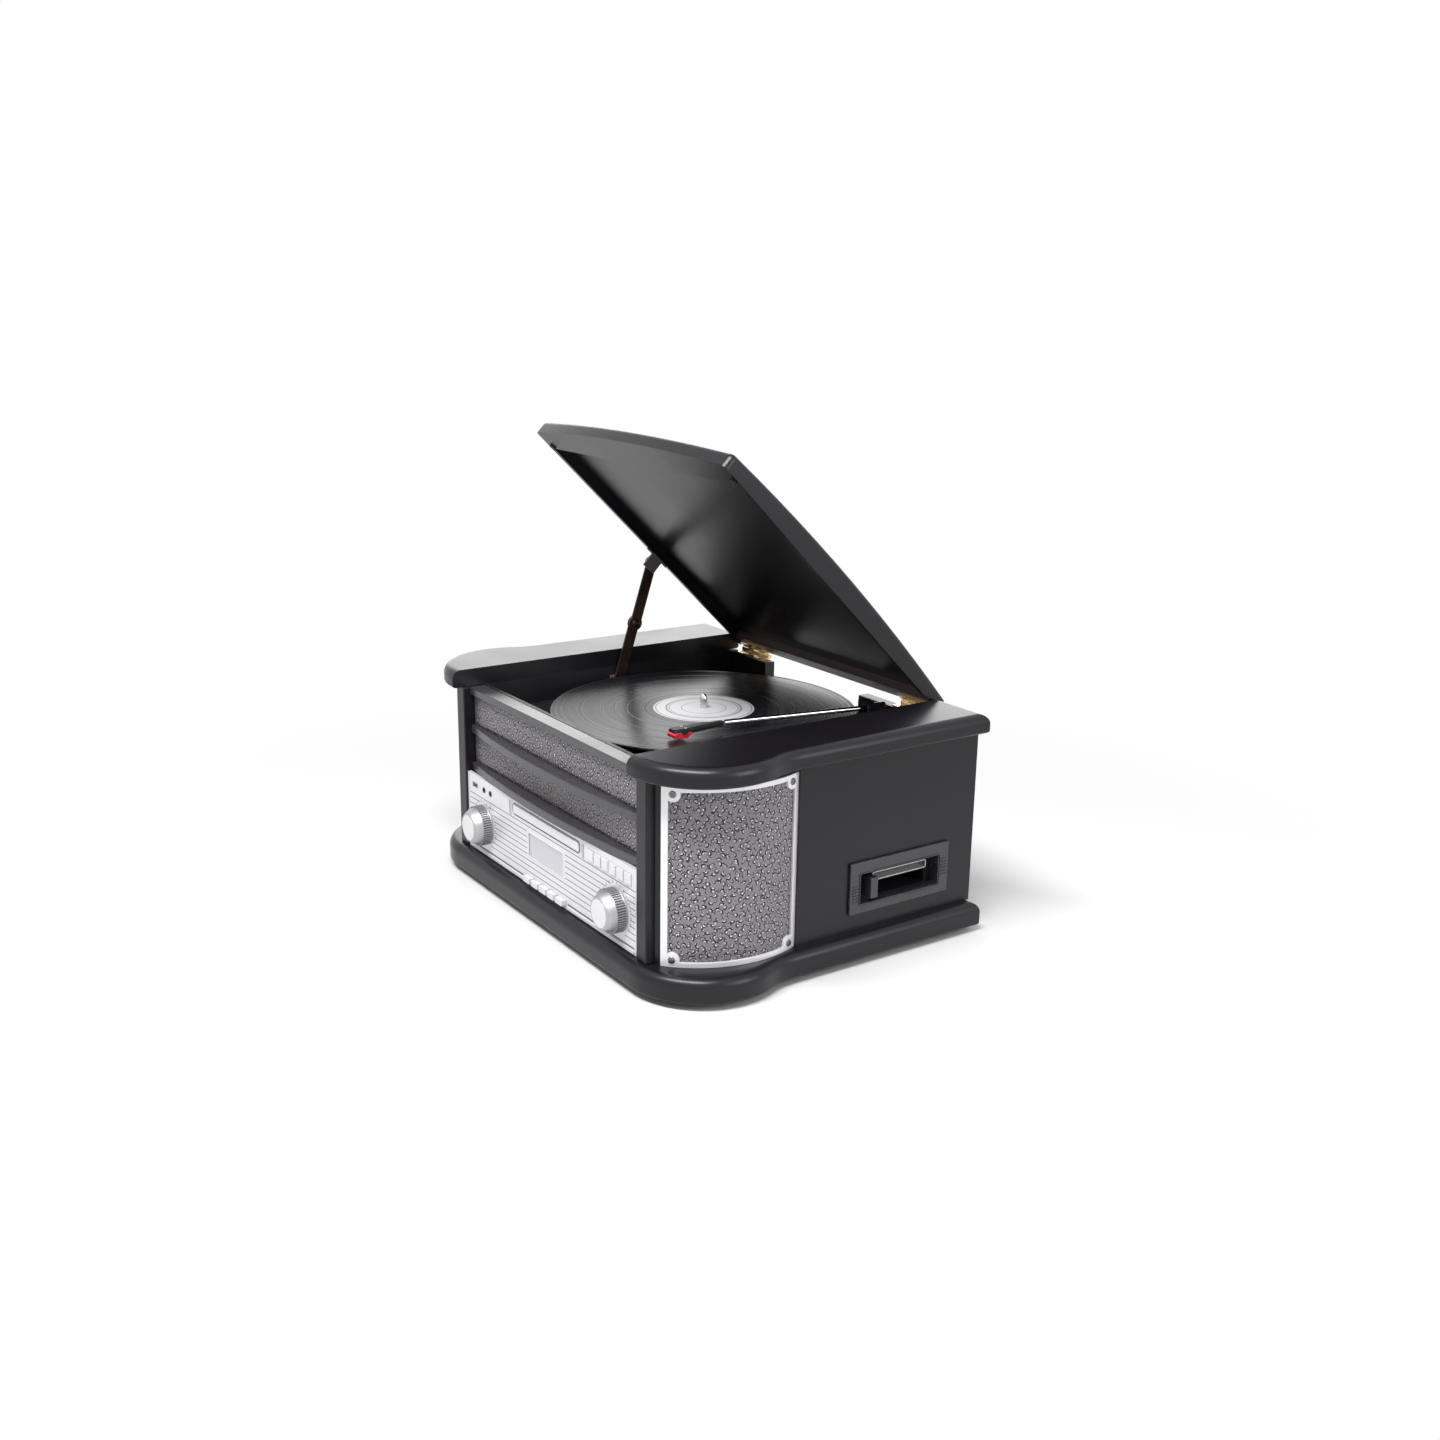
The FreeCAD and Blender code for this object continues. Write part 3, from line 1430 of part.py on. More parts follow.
def swung(piece):
    """Open a piece that is drawn with the lid shut."""
    angle = -size.lid_open_angle
    piece.Placement = Placement(Vector(), Rotation(Vector(1, 0, 0), angle.value))
    bind(
        piece,
        Placement__Rotation__Angle=angle,
        Placement__Base__y=hinge_y - (hinge_y * cosine(angle) - hinge_z * sine(angle)),
        Placement__Base__z=hinge_z - (hinge_y * sine(angle) + hinge_z * cosine(angle)),
    )
    return piece


# The board is crowned from front to rear, and its front edge is bowed in plan
lid_tip = lid_front - size.lid_bow
lid_run = (lid_rear - lid_tip) / 2
lid_crown_radius = (lid_run * lid_run + size.lid_crown * size.lid_crown) / (2 * size.lid_crown)
lid_board = plate("YZ_Plane", -lid_half, 2 * lid_half, [
    (lid_tip, lid_low),
    (lid_rear, lid_low),
    (lid_rear, lid_edge_high, lid_crown_radius, LEFT),
    (lid_tip, lid_edge_high),
])
bow_sketch = sketch_on(lid_board, "XY_Plane", lid_low)
draw_loop(bow_sketch, [
    (-lid_half, lid_front, lid_bow_radius, LEFT),
    (lid_half, lid_front),
    (lid_half + overshoot, lid_front),
    (lid_half + overshoot, lid_tip - overshoot),
    (-lid_half - overshoot, lid_tip - overshoot),
    (-lid_half - overshoot, lid_front),
])
bow_cut = lid_board.newObject("PartDesign::Pocket", "bow_cut")
bow_cut.Profile = bow_sketch
bow_cut.Type = "ThroughAll"
bow_cut.Midplane = True


def front_corner(edge):
    """A test for the lid's two upright front edges."""
    bounds = edge.BoundBox
    return bounds.ZLength > 1 and abs(bounds.YMax - lid_front.value) < 0.01


def upper_lid_edge(edge):
    """A test for the lid's top edges, without the rear one."""
    bounds = edge.BoundBox
    return bounds.ZMin > lid_low.value + 1 and bounds.YMin < lid_rear.value - 0.01


round_edges(lid_board, size.lid_corner_round, front_corner)
round_edges(lid_board, size.lid_edge_round, upper_lid_edge)
lid_hollow_half = lid_half - size.lid_rim
lid_plate_low = lid_low + size.lid_hollow_depth
lid_hollow = box(
    (-lid_hollow_half, lid_hollow_half),
    (lid_front + size.lid_front_rim, lid_rear + overshoot),
    (lid_low - overshoot, lid_plate_low),
)
strip_half = lid_half - size.lid_cheek
strip_bed = box(
    (-strip_half, strip_half),
    (lid_rear - size.strip_depth, lid_rear + overshoot),
    (lid_low - overshoot, lid_plate_low),
)
node("lid_panel", swung(cut(lid_board, joined(lid_hollow, strip_bed))))
lid_strip = box(
    (-strip_half, strip_half),
    (lid_rear - size.strip_depth, lid_rear),
    (lid_leaf_high, lid_plate_low),
)
node("lid_rear_strip", swung(group(lid_strip)))
bumpers = []
for side in (-1, 1):
    bumpers.append(rod("z", size.bumper_radius, (lid_low - size.bumper_height, lid_low),
                       side * (lid_half - size.bumper_inset),
                       lid_front + size.lid_front_rim - size.bumper_radius))
node("lid_bumpers", swung(group(*bumpers)))

# Hinges: five knuckles on a riveted pin, the outer and middle ones on the cabinet leaf
knuckle_count = 5
hinge_offset = strip_half - size.hinge_inset - size.hinge_length / 2
knuckle_pitch = size.hinge_length / knuckle_count
knuckle_gap = size.fit_clearance / 2
barrel_front = hinge_y - size.hinge_barrel_radius
leaf_front = hinge_y - size.hinge_leaf_reach


def knuckle(middle, number):
    """One round of a hinge barrel."""
    start = middle - size.hinge_length / 2 + knuckle_pitch * number
    span = (start + knuckle_gap, start + knuckle_pitch - knuckle_gap)
    return rod("x", size.hinge_barrel_radius, span, hinge_y, hinge_z)


def leaf_tab(middle, number, level):
    """The strip of a leaf that reaches one knuckle."""
    start = middle - size.hinge_length / 2 + knuckle_pitch * number
    return box((start + knuckle_gap, start + knuckle_pitch - knuckle_gap), (leaf_front, hinge_y), level)


def leaf_plate(middle, level):
    """The flat of a leaf in front of the barrel."""
    half = size.hinge_length / 2 - knuckle_gap
    return box((middle - half, middle + half), (leaf_front, barrel_front - knuckle_gap), level)


pin_bore_radius = size.hinge_pin_radius + size.running_clearance
cabinet_leaves = []
lid_leaves = []
for side in (-1, 1):
    middle = side * hinge_offset
    pin = rod("x", size.hinge_pin_radius, (middle - size.hinge_length / 2 + knuckle_gap,
              middle + size.hinge_length / 2 - knuckle_gap), hinge_y, hinge_z)
    fixed = [pin, leaf_plate(middle, (cabinet_leaf_low, cabinet_leaf_high))]
    for number in (0, 2, 4):
        fixed.append(knuckle(middle, number))
        fixed.append(leaf_tab(middle, number, (cabinet_leaf_low, cabinet_leaf_high)))
    cabinet_leaves.append(joined(*fixed))
    moving = [leaf_plate(middle, (lid_leaf_low, lid_leaf_high))]
    for number in (1, 3):
        moving.append(knuckle(middle, number))
        moving.append(leaf_tab(middle, number, (lid_leaf_low, lid_leaf_high)))
    bore = rod("x", pin_bore_radius, (middle - size.hinge_length / 2, middle + size.hinge_length / 2),
               hinge_y, hinge_z)
    lid_leaves.append(cut(joined(*moving), bore))
node("cabinet_hinge_leaves", group(*cabinet_leaves))
node("lid_hinge_leaves", swung(group(*lid_leaves)))

# Folding stay: two equal strips between the left wall and the lid, straight when the lid is open
stay_pivot_level = deck_top + size.stay_pivot_rise
stay_shut_y = size.stay_pivot_y
stay_shut_z = lid_low - size.stay_lid_drop
reach_y = stay_shut_y - hinge_y
reach_z = stay_shut_z - hinge_z
open_angle = -size.lid_open_angle
stay_open_y = hinge_y + reach_y * cosine(open_angle) - reach_z * sine(open_angle)
stay_open_z = hinge_z + reach_y * sine(open_angle) + reach_z * cosine(open_angle)
stay_run_y = stay_open_y - size.stay_pivot_y
stay_run_z = stay_open_z - stay_pivot_level
stay_arm = root(stay_run_y * stay_run_y + stay_run_z * stay_run_z) / 2
stay_turn = Size(
    math.degrees(math.atan2(stay_run_z.value, stay_run_y.value)),
    f"atan({stay_run_z.text} / {stay_run_y.text})",
)
bracket_x = (-well_half, size.stay_bracket - well_half)
lower_x = (bracket_x[1] + size.fit_clearance, bracket_x[1] + size.fit_clearance + size.stay_strip)
upper_x = (lower_x[1] + size.fit_clearance, lower_x[1] + size.fit_clearance + size.stay_strip)
ear_plate_x = (upper_x[1] + size.fit_clearance, upper_x[1] + size.fit_clearance + size.stay_strip)
eye_bore = size.stay_pin_radius + size.running_clearance


def stay_strip(x_span, start, end, bored_end, rivet_span):
    """A flat strip with round eyes, drawn along +Y from the wall pivot and then turned up."""
    half = size.stay_width / 2
    strip = joined(
        box(x_span, (start, end), (-half, half)),
        rod("x", size.stay_eye_radius, x_span, start, zero),
        rod("x", size.stay_eye_radius, x_span, end, zero),
        rod("x", size.stay_rivet_radius, rivet_span, stay_arm, zero),
    )
    strip = cut(strip, rod("x", eye_bore, x_span, bored_end, zero))
    return place(strip, zero, size.stay_pivot_y, stay_pivot_level, (1, 0, 0), stay_turn)


lower_rivet = (lower_x[0] - size.stay_rivet_height, lower_x[0])
upper_rivet = (upper_x[1], upper_x[1] + size.stay_rivet_height)
node("stay_lower_arm", stay_strip(lower_x, zero, stay_arm, zero, lower_rivet))
node("stay_upper_arm", stay_strip(upper_x, stay_arm, 2 * stay_arm, 2 * stay_arm, upper_rivet))
wall_plate_half = size.stay_eye_radius
wall_bracket = joined(
    box(bracket_x, (size.stay_pivot_y - wall_plate_half, size.stay_pivot_y + wall_plate_half),
        (deck_top, stay_pivot_level + wall_plate_half)),
    rod("x", size.stay_pin_radius, (bracket_x[0], lower_x[1]), size.stay_pivot_y, stay_pivot_level),
)
node("stay_wall_bracket", wall_bracket)
lid_bracket = joined(
    box(ear_plate_x, (stay_shut_y - wall_plate_half, stay_shut_y + wall_plate_half),
        (stay_shut_z - wall_plate_half, lid_low)),
    box((ear_plate_x[0], -lid_hollow_half),
        (stay_shut_y - 2 * wall_plate_half, stay_shut_y + 2 * wall_plate_half),
        (lid_low - size.stay_strip, lid_low)),
    rod("x", size.stay_pin_radius, (upper_x[0], ear_plate_x[1]), stay_shut_y, stay_shut_z),
)
node("stay_lid_bracket", swung(lid_bracket))

# Check every object and every sub-part, then write one file for each sub-part
doc.recompute()
for thing in doc.Objects:
    if "Invalid" in thing.State or "Error" in thing.State:
        raise RuntimeError(f"{thing.Label} did not build: {thing.State}")
os.makedirs("parts", exist_ok=True)
for label, piece in nodes.items():
    shape = piece.Shape
    if shape.isNull() or not shape.isValid() or not shape.Solids:
        raise RuntimeError(f"{label} has no valid solid")
for label, piece in nodes.items():
    piece.Shape.exportStep(f"parts/{label}.step")
    bounds = piece.Shape.BoundBox
    print(f"{label}: {len(piece.Shape.Solids)} solids, {piece.Shape.Volume / 1000:.1f} cm3, "
          f"x {bounds.XMin:.1f} {bounds.XMax:.1f} y {bounds.YMin:.1f} {bounds.YMax:.1f} "
          f"z {bounds.ZMin:.1f} {bounds.ZMax:.1f}")
print(f"{len(nodes)} sub-parts, stay arm {stay_arm.value:.3f} mm at {stay_turn.value:.3f} degrees")
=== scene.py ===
import math

import bmesh
import bpy
from mathutils import Matrix, Quaternion, Vector


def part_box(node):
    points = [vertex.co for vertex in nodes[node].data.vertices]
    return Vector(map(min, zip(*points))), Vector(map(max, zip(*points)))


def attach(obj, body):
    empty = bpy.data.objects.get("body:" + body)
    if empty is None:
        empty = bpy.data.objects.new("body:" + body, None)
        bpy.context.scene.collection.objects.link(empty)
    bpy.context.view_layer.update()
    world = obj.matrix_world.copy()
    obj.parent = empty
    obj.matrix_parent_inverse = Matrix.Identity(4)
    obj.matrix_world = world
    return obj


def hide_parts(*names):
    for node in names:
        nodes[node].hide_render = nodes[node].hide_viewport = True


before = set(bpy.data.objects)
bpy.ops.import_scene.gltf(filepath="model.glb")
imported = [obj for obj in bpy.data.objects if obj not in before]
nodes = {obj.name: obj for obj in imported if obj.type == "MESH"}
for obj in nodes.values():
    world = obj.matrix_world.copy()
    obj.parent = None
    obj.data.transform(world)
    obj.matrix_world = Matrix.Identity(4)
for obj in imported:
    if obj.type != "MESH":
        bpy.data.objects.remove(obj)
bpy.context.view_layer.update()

scene = bpy.context.scene
mm = 0.001

# Studio: a pale floor that fades to white, soft light from all round, a slim bright lamp high in front, a
# broad one on the right, and one behind on the left that shines on the flat tops.
scene.view_settings.view_transform = "Standard"
floor_half = 6.0
floor_colour = (0.72, 0.72, 0.725, 1.0)
floor_near = 0.40
floor_far = 0.85
ambient_level = 0.50


def feed(tree, value, socket):
    """Sets a socket to a plain value, or links it to another node's output."""
    if isinstance(value, bpy.types.NodeSocket):
        tree.links.new(value, socket)
    else:
        socket.default_value = value


def reckon(tree, operation, *values):
    """One step of arithmetic on numbers or sockets."""
    node = tree.nodes.new("ShaderNodeMath")
    node.operation = operation
    for value, socket in zip(values, node.inputs):
        feed(tree, value, socket)
    return node.outputs[0]


def spread(tree, value, low, high, start=0.0, stop=1.0, smooth=False):
    """Carries a value from the range start to stop over to the range low to high."""
    node = tree.nodes.new("ShaderNodeMapRange")
    node.interpolation_type = "SMOOTHSTEP" if smooth else "LINEAR"
    for label, number in (("Value", value), ("From Min", start), ("From Max", stop),
                          ("To Min", low), ("To Max", high)):
        feed(tree, number, node.inputs[label])
    return node.outputs[0]


def seen_directly(tree):
    """1 for what the camera sees straight on, in a reflection or through glass, and 0 for light."""
    path = tree.nodes.new("ShaderNodeLightPath")
    mirrored = reckon(tree, "MAXIMUM", path.outputs["Is Camera Ray"], path.outputs["Is Glossy Ray"])
    return reckon(tree, "MAXIMUM", mirrored, path.outputs["Is Transmission Ray"])


def vector_step(tree, operation, first, second=None, scale=None):
    """One step of arithmetic on vectors or sockets."""
    node = tree.nodes.new("ShaderNodeVectorMath")
    node.operation = operation
    feed(tree, first, node.inputs[0])
    if second is not None:
        feed(tree, second, node.inputs[1])
    if scale is not None:
        feed(tree, scale, node.inputs["Scale"])
    return node.outputs["Value" if operation == "LENGTH" else "Vector"]


def object_place(tree):
    """A point's place on its own object."""
    return tree.nodes.new("ShaderNodeTexCoord").outputs["Object"]


def link_object(name, data):
    """A new object in the scene."""
    made = bpy.data.objects.new(name, data)
    scene.collection.objects.link(made)
    return made


floor_mesh = bpy.data.meshes.new("floor")
floor_mesh.from_pydata([(-floor_half, -floor_half, 0.0), (floor_half, -floor_half, 0.0),
                        (floor_half, floor_half, 0.0), (-floor_half, floor_half, 0.0)], [], [(0, 1, 2, 3)])
floor = link_object("floor", floor_mesh)
floor_paper = bpy.data.materials.new("floor_paper")
floor_paper.use_nodes = True
tree = floor_paper.node_tree
tree.nodes.remove(tree.nodes["Principled BSDF"])
matt = tree.nodes.new("ShaderNodeBsdfDiffuse")
matt.inputs["Color"].default_value = floor_colour
white = tree.nodes.new("ShaderNodeEmission")
away = vector_step(tree, "LENGTH", object_place(tree))
fade = spread(tree, away, 0.0, 1.0, floor_near, floor_far, smooth=True)
paper_mix = tree.nodes.new("ShaderNodeMixShader")
feed(tree, reckon(tree, "MULTIPLY", fade, seen_directly(tree)), paper_mix.inputs[0])
tree.links.new(matt.outputs[0], paper_mix.inputs[1])
tree.links.new(white.outputs[0], paper_mix.inputs[2])
tree.links.new(paper_mix.outputs[0], tree.nodes["Material Output"].inputs["Surface"])
floor_mesh.materials.append(floor_paper)

air = bpy.data.worlds.new("studio_air")
air.use_nodes = True
scene.world = air
tree = air.node_tree
sky = tree.nodes["Background"]
sky.inputs["Color"].default_value = (1.0, 1.0, 1.0, 1.0)
feed(tree, spread(tree, seen_directly(tree), ambient_level, 1.0), sky.inputs["Strength"])


def softbox(name, place, aim, width, height, brightness):
    """A flat lamp of the given brightness that faces the point aim."""
    lamp = bpy.data.lights.new(name, "AREA")
    lamp.shape = "RECTANGLE"
    lamp.size = width
    lamp.size_y = height
    lamp.energy = brightness * math.pi * width * height
    panel = link_object(name, lamp)
    panel.location = place
    panel.rotation_euler = (Vector(place) - Vector(aim)).to_track_quat("Z", "Y").to_euler()
    panel.visible_camera = False


softbox("overhead_light", place=(0.55, -0.95, 2.05), aim=(0.05, -0.1, 0.15), width=1.6, height=0.36,
        brightness=34.0)
softbox("right_panel_light", place=(1.9, 0.75, 0.9), aim=(0.2, 0.0, 0.15), width=1.0, height=1.0,
        brightness=4.0)
softbox("rear_panel_light", place=(-1.9, 1.15, 0.75), aim=(0.0, 0.0, 0.2), width=2.2, height=1.1,
        brightness=1.9)

photo_side = 1440
focal_pixels = 1545.2
azimuth = math.radians(55.333)
elevation = math.radians(15.816)
camera_roll = 0.0152
aim_point = Vector((-0.0294, 0.0522, 0.1638))
camera_distance = 1.5735
sensor = 36.0
camera_data = bpy.data.cameras.new("camera")
camera = link_object("camera", camera_data)
camera_back = Vector((math.sin(azimuth) * math.cos(elevation), -math.cos(azimuth) * math.cos(elevation),
                      math.sin(elevation)))
camera.location = aim_point + camera_distance * camera_back
camera_turn = camera_back.to_track_quat("Z", "Y") @ Quaternion((0.0, 0.0, 1.0), camera_roll)
camera.rotation_euler = camera_turn.to_euler()
camera_data.sensor_width = sensor
camera_data.lens = focal_pixels / photo_side * sensor
scene.camera = camera

# Cabinet boards: plinth, sides, back, baffles and the two wings of the top. They are fibreboard with
# routed edges, sprayed black. The satin coat dries with a faint orange peel and a slightly uneven shine.
black_paint_colour = (0.0062, 0.0054, 0.0078)
black_paint_shine = (0.27, 0.33)


def new_material(name):
    """A new material with its node tree and its shader."""
    made = bpy.data.materials.new(name)
    made.use_nodes = True
    return made, made.node_tree, made.node_tree.nodes["Principled BSDF"]


def blend_colour(tree, factor, first, second):
    """A colour between two others: the first at 0, the second at 1."""
    mix = tree.nodes.new("ShaderNodeMix")
    mix.data_type = "RGBA"
    feed(tree, factor, mix.inputs[0])
    feed(tree, first, mix.inputs[6])
    feed(tree, second, mix.inputs[7])
    return mix.outputs[2]


def shade(colour, share):
    """A colour made darker or lighter by a share, as a full RGBA value."""
    return (*(min(1.0, channel * share) for channel in colour), 1.0)


def relief(tree, shader, height, depth):
    """Turns a height from 0 to 1 into a bump of that depth in metres."""
    bump = tree.nodes.new("ShaderNodeBump")
    bump.inputs["Distance"].default_value = depth
    feed(tree, height, bump.inputs["Height"])
    tree.links.new(bump.outputs["Normal"], shader.inputs["Normal"])


def lay_finish(tree, shader, mask, height, colour, shine, depth, metallic, drift):
    """A mask carries the colour up and down by drift and the roughness along shine. A height gives relief."""
    tinted = blend_colour(tree, mask, shade(colour, 1 - drift), shade(colour, 1 + drift))
    feed(tree, tinted, shader.inputs["Base Color"])
    feed(tree, spread(tree, mask, *shine), shader.inputs["Roughness"])
    shader.inputs["Metallic"].default_value = metallic
    relief(tree, shader, height, depth)


def shader_group(name, numbers, results):
    """An empty shader group with a Vector input, the named numbers, and the named result values."""
    group = bpy.data.node_groups.new(name, "ShaderNodeTree")
    group.interface.new_socket("Vector", in_out="INPUT", socket_type="NodeSocketVector")
    for label in numbers:
        group.interface.new_socket(label, in_out="INPUT", socket_type="NodeSocketFloat")
    for label in results:
        group.interface.new_socket(label, in_out="OUTPUT", socket_type="NodeSocketFloat")
    return group, group.nodes.new("NodeGroupInput"), group.nodes.new("NodeGroupOutput")


def noise(tree, vector, scale, detail=2.0):
    """A cloudy value about a half."""
    texture = tree.nodes.new("ShaderNodeTexNoise")
    feed(tree, vector, texture.inputs["Vector"])
    feed(tree, scale, texture.inputs["Scale"])
    texture.inputs["Detail"].default_value = detail
    return texture.outputs[0]


def full_range(tree, value, low=0.3, high=0.7):
    """Spreads the usual values of a noise over the whole range from 0 to 1."""
    return spread(tree, value, 0.0, 1.0, low, high)


def use_group(tree, group, vector, **numbers):
    """A shader group placed in a material, with its numbers set."""
    node = tree.nodes.new("ShaderNodeGroup")
    node.node_tree = group
    feed(tree, vector, node.inputs["Vector"])
    for label, number in numbers.items():
        node.inputs[label].default_value = number
    return node


# The skin of any coat or moulding: broad patches of shine, and a fine pebble at a size of its own.
coat_skin, enter, leave = shader_group("coat_skin", ("Patches", "Pebble"), ("Patch", "Height"))
broad = noise(coat_skin, enter.outputs["Vector"], enter.outputs["Patches"], 3.0)
coat_skin.links.new(full_range(coat_skin, broad), leave.inputs["Patch"])
coat_skin.links.new(noise(coat_skin, enter.outputs["Vector"], enter.outputs["Pebble"], 1.0),
                    leave.inputs["Height"])


def coated(name, colour, shine, patches, pebble, depth, metallic=0.0, drift=0.08, mirror=0.5):
    """A sprayed or moulded finish: its shine goes between two roughnesses, its colour by drift."""
    made, tree, shader = new_material(name)
    skin = use_group(tree, coat_skin, object_place(tree), Patches=patches, Pebble=pebble)
    lay_finish(tree, shader, skin.outputs["Patch"], skin.outputs["Height"], colour, shine, depth, metallic,
               drift)
    shader.inputs["Specular IOR Level"].default_value = mirror
    return made


def dress(finish, *names):
    """Gives CAD nodes their finish."""
    for name in names:
        for slot in nodes[name].material_slots:
            slot.material = finish


black_paint = coated("black_paint", black_paint_colour, black_paint_shine, patches=9.0, pebble=700.0,
                     depth=0.001 * mm, mirror=0.36)
dress(black_paint, "plinth_base", "left_side_panel", "right_side_panel", "rear_panel", "left_top_wing",
      "right_top_wing", "speaker_baffles")

# Feet: four moulded pads of black rubber, each with a round edge and a sunk middle. They are screwed under
# the plinth.
foot_radius = 12.0 * mm
foot_height = 6.0 * mm
front_foot_x = 172.0 * mm
lathe_steps = 48
weld = 0.001 * mm
sharp_angle = 35.0


def plain_mesh(piece):
    """Evaluates a piece's modifiers into a plain mesh of its own."""
    depsgraph = bpy.context.evaluated_depsgraph_get()
    piece.data = bpy.data.meshes.new_from_object(piece.evaluated_get(depsgraph))
    piece.modifiers.clear()


def settle(piece, body, slot, *replaced):
    """Fixes a finished piece to its body and hides the CAD nodes that it stands for. The slot is not used."""
    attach(piece, body)
    if replaced:
        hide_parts(*replaced)


def round_over(piece, width, steps=2, from_angle=40.0):
    """Rounds a piece's edges from that angle up."""
    edge = piece.modifiers.new("edge", "BEVEL")
    edge.width = width
    edge.segments = steps
    edge.limit_method = "ANGLE"
    edge.angle_limit = math.radians(from_angle)
    edge.harden_normals = True
    plain_mesh(piece)


def finished(rough, name, finish, body, slot, *replaced, edge=0.0, crease=sharp_angle, even=False):
    """Closes a rough mesh into a piece on a body, its edges rounded or its shading evened if asked."""
    bmesh.ops.remove_doubles(rough, verts=rough.verts, dist=weld)
    bmesh.ops.recalc_face_normals(rough, faces=rough.faces)
    mesh = bpy.data.meshes.new(name)
    rough.to_mesh(mesh)
    rough.free()
    for layer in ("custom_normal", "sharp_edge", "sharp_face"):
        if layer in mesh.attributes:
            mesh.attributes.remove(mesh.attributes[layer])
    mesh.materials.clear()
    mesh.materials.append(finish)
    mesh.shade_smooth()
    piece = link_object(name, mesh)
    if edge:
        round_over(piece, edge)
    else:
        mesh.set_sharp_from_angle(angle=math.radians(crease))
    if even:
        weighted = piece.modifiers.new("weighted", "WEIGHTED_NORMAL")
        weighted.keep_sharp = True
        plain_mesh(piece)
    settle(piece, body, slot, *replaced)


def lathe(rough, profile, centre, axis=(0.0, 0.0, 1.0), steps=lathe_steps):
    """Adds a turned body: (radius, height) points about an axis, closed on it or into a ring."""
    stand = Matrix.Translation(centre) @ Vector(axis).to_track_quat("Z", "Y").to_matrix().to_4x4()
    rings = []
    for radius, height in profile:
        angles = [math.tau * step / steps for step in range(steps)] if radius else [0.0]
        rings.append([rough.verts.new(stand @ Vector((radius * math.cos(a), radius * math.sin(a), height)))
                      for a in angles])
    if profile[0][0]:
        rings.append(rings[0])
    for lower, upper in zip(rings, rings[1:]):
        for step in range(steps):
            after = (step + 1) % steps
            corners = []
            for corner in (lower[step % len(lower)], lower[after % len(lower)],
                           upper[after % len(upper)], upper[step % len(upper)]):
                if corner not in corners:
                    corners.append(corner)
            if len(corners) > 2:
                rough.faces.new(corners)


black_rubber = coated("black_rubber", colour=(0.018, 0.018, 0.019), shine=(0.62, 0.8), patches=60.0,
                      pebble=2500.0, depth=0.06 * mm)
dress(black_rubber, "platter_mat", "lid_bumpers", "drive_belt")
feet_low, feet_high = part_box("rubber_feet")
rear_foot = (feet_high.x - foot_radius, feet_high.y - foot_radius)
foot_profile = [(0.0, 2.0 * mm), (4.0 * mm, 2.0 * mm), (4.6 * mm, 0.3 * mm), (5.4 * mm, 0.0),
                (9.6 * mm, 0.0), (11.0 * mm, 0.5 * mm), (11.7 * mm, 1.8 * mm), (foot_radius, foot_height),
                (0.0, foot_height)]
rough = bmesh.new()
for side in (-1, 1):
    lathe(rough, foot_profile, (side * rear_foot[0], rear_foot[1], 0.0))
    lathe(rough, foot_profile, (side * front_foot_x, feet_low.y + foot_radius, 0.0))
finished(rough, "foot_pads", black_rubber, "cabinet", "black_rubber", "rubber_feet")

# Back screws: pan heads in black zinc with a cross recess. They are driven through the back board into the
# sides and the plinth.
back_screw_radius = 3.4 * mm
back_screw_height = 1.1 * mm
back_screw_x = 204.0 * mm
back_screw_levels = (38.0 * mm, 112.0 * mm, 186.0 * mm)
plinth_screw_x = (-130.0 * mm, -45.0 * mm, 45.0 * mm)
back_face = 170.5 * mm
backwards = (0.0, 1.0, 0.0)


def slab(rough, outline, low, high, place=Matrix()):
    """Adds a prism over a flat outline of (x, y) points, from low to high, set in place by a matrix."""
    bottom = [rough.verts.new(place @ Vector((x, y, low))) for x, y in outline]
    top = [rough.verts.new(place @ Vector((x, y, high))) for x, y in outline]
    rough.faces.new(bottom[::-1])
    rough.faces.new(top)
    for step in range(len(outline)):
        after = (step + 1) % len(outline)
        rough.faces.new((bottom[step], bottom[after], top[after], top[step]))


def loose_object(name, rough):
    """A helper shape that never joins the model."""
    bmesh.ops.recalc_face_normals(rough, faces=rough.faces)
    mesh = bpy.data.meshes.new(name)
    rough.to_mesh(mesh)
    rough.free()
    mesh.shade_smooth()
    return link_object(name, mesh)


def cross_head(name, radius, height):
    """A pan-head screw's head on the origin, facing +Z, with a cross recess."""
    rough = bmesh.new()
    lathe(rough, [(0.0, 0.0), (radius, 0.0), (radius, 0.35 * height), (0.88 * radius, 0.75 * height),
                  (0.5 * radius, 0.97 * height), (0.0, height)], (0.0, 0.0, 0.0), steps=20)
    head = loose_object(name, rough)
    arm = 0.62 * radius
    half = 0.13 * radius
    cross = bmesh.new()
    slab(cross, [(half, -arm), (half, -half), (arm, -half), (arm, half), (half, half), (half, arm),
                 (-half, arm), (-half, half), (-arm, half), (-arm, -half), (-half, -half), (-half, -arm)],
         0.35 * height, 2.0 * height)
    cutter = loose_object(name + "_recess", cross)
    recess = head.modifiers.new("recess", "BOOLEAN")
    recess.object = cutter
    plain_mesh(head)
    head.data.set_sharp_from_angle(angle=math.radians(sharp_angle))
    bpy.data.objects.remove(cutter)
    scene.collection.objects.unlink(head)
    return head


def grow_tree(name, **inputs):
    """An empty Geometry Nodes tree with the named inputs."""
    tree = bpy.data.node_groups.new(name, "GeometryNodeTree")
    tree.interface.new_socket("Geometry", in_out="INPUT", socket_type="NodeSocketGeometry")
    tree.interface.new_socket("Geometry", in_out="OUTPUT", socket_type="NodeSocketGeometry")
    for label, kind in inputs.items():
        tree.interface.new_socket(label, in_out="INPUT", socket_type="NodeSocket" + kind)
    return tree, tree.nodes.new("NodeGroupInput"), tree.nodes.new("NodeGroupOutput")


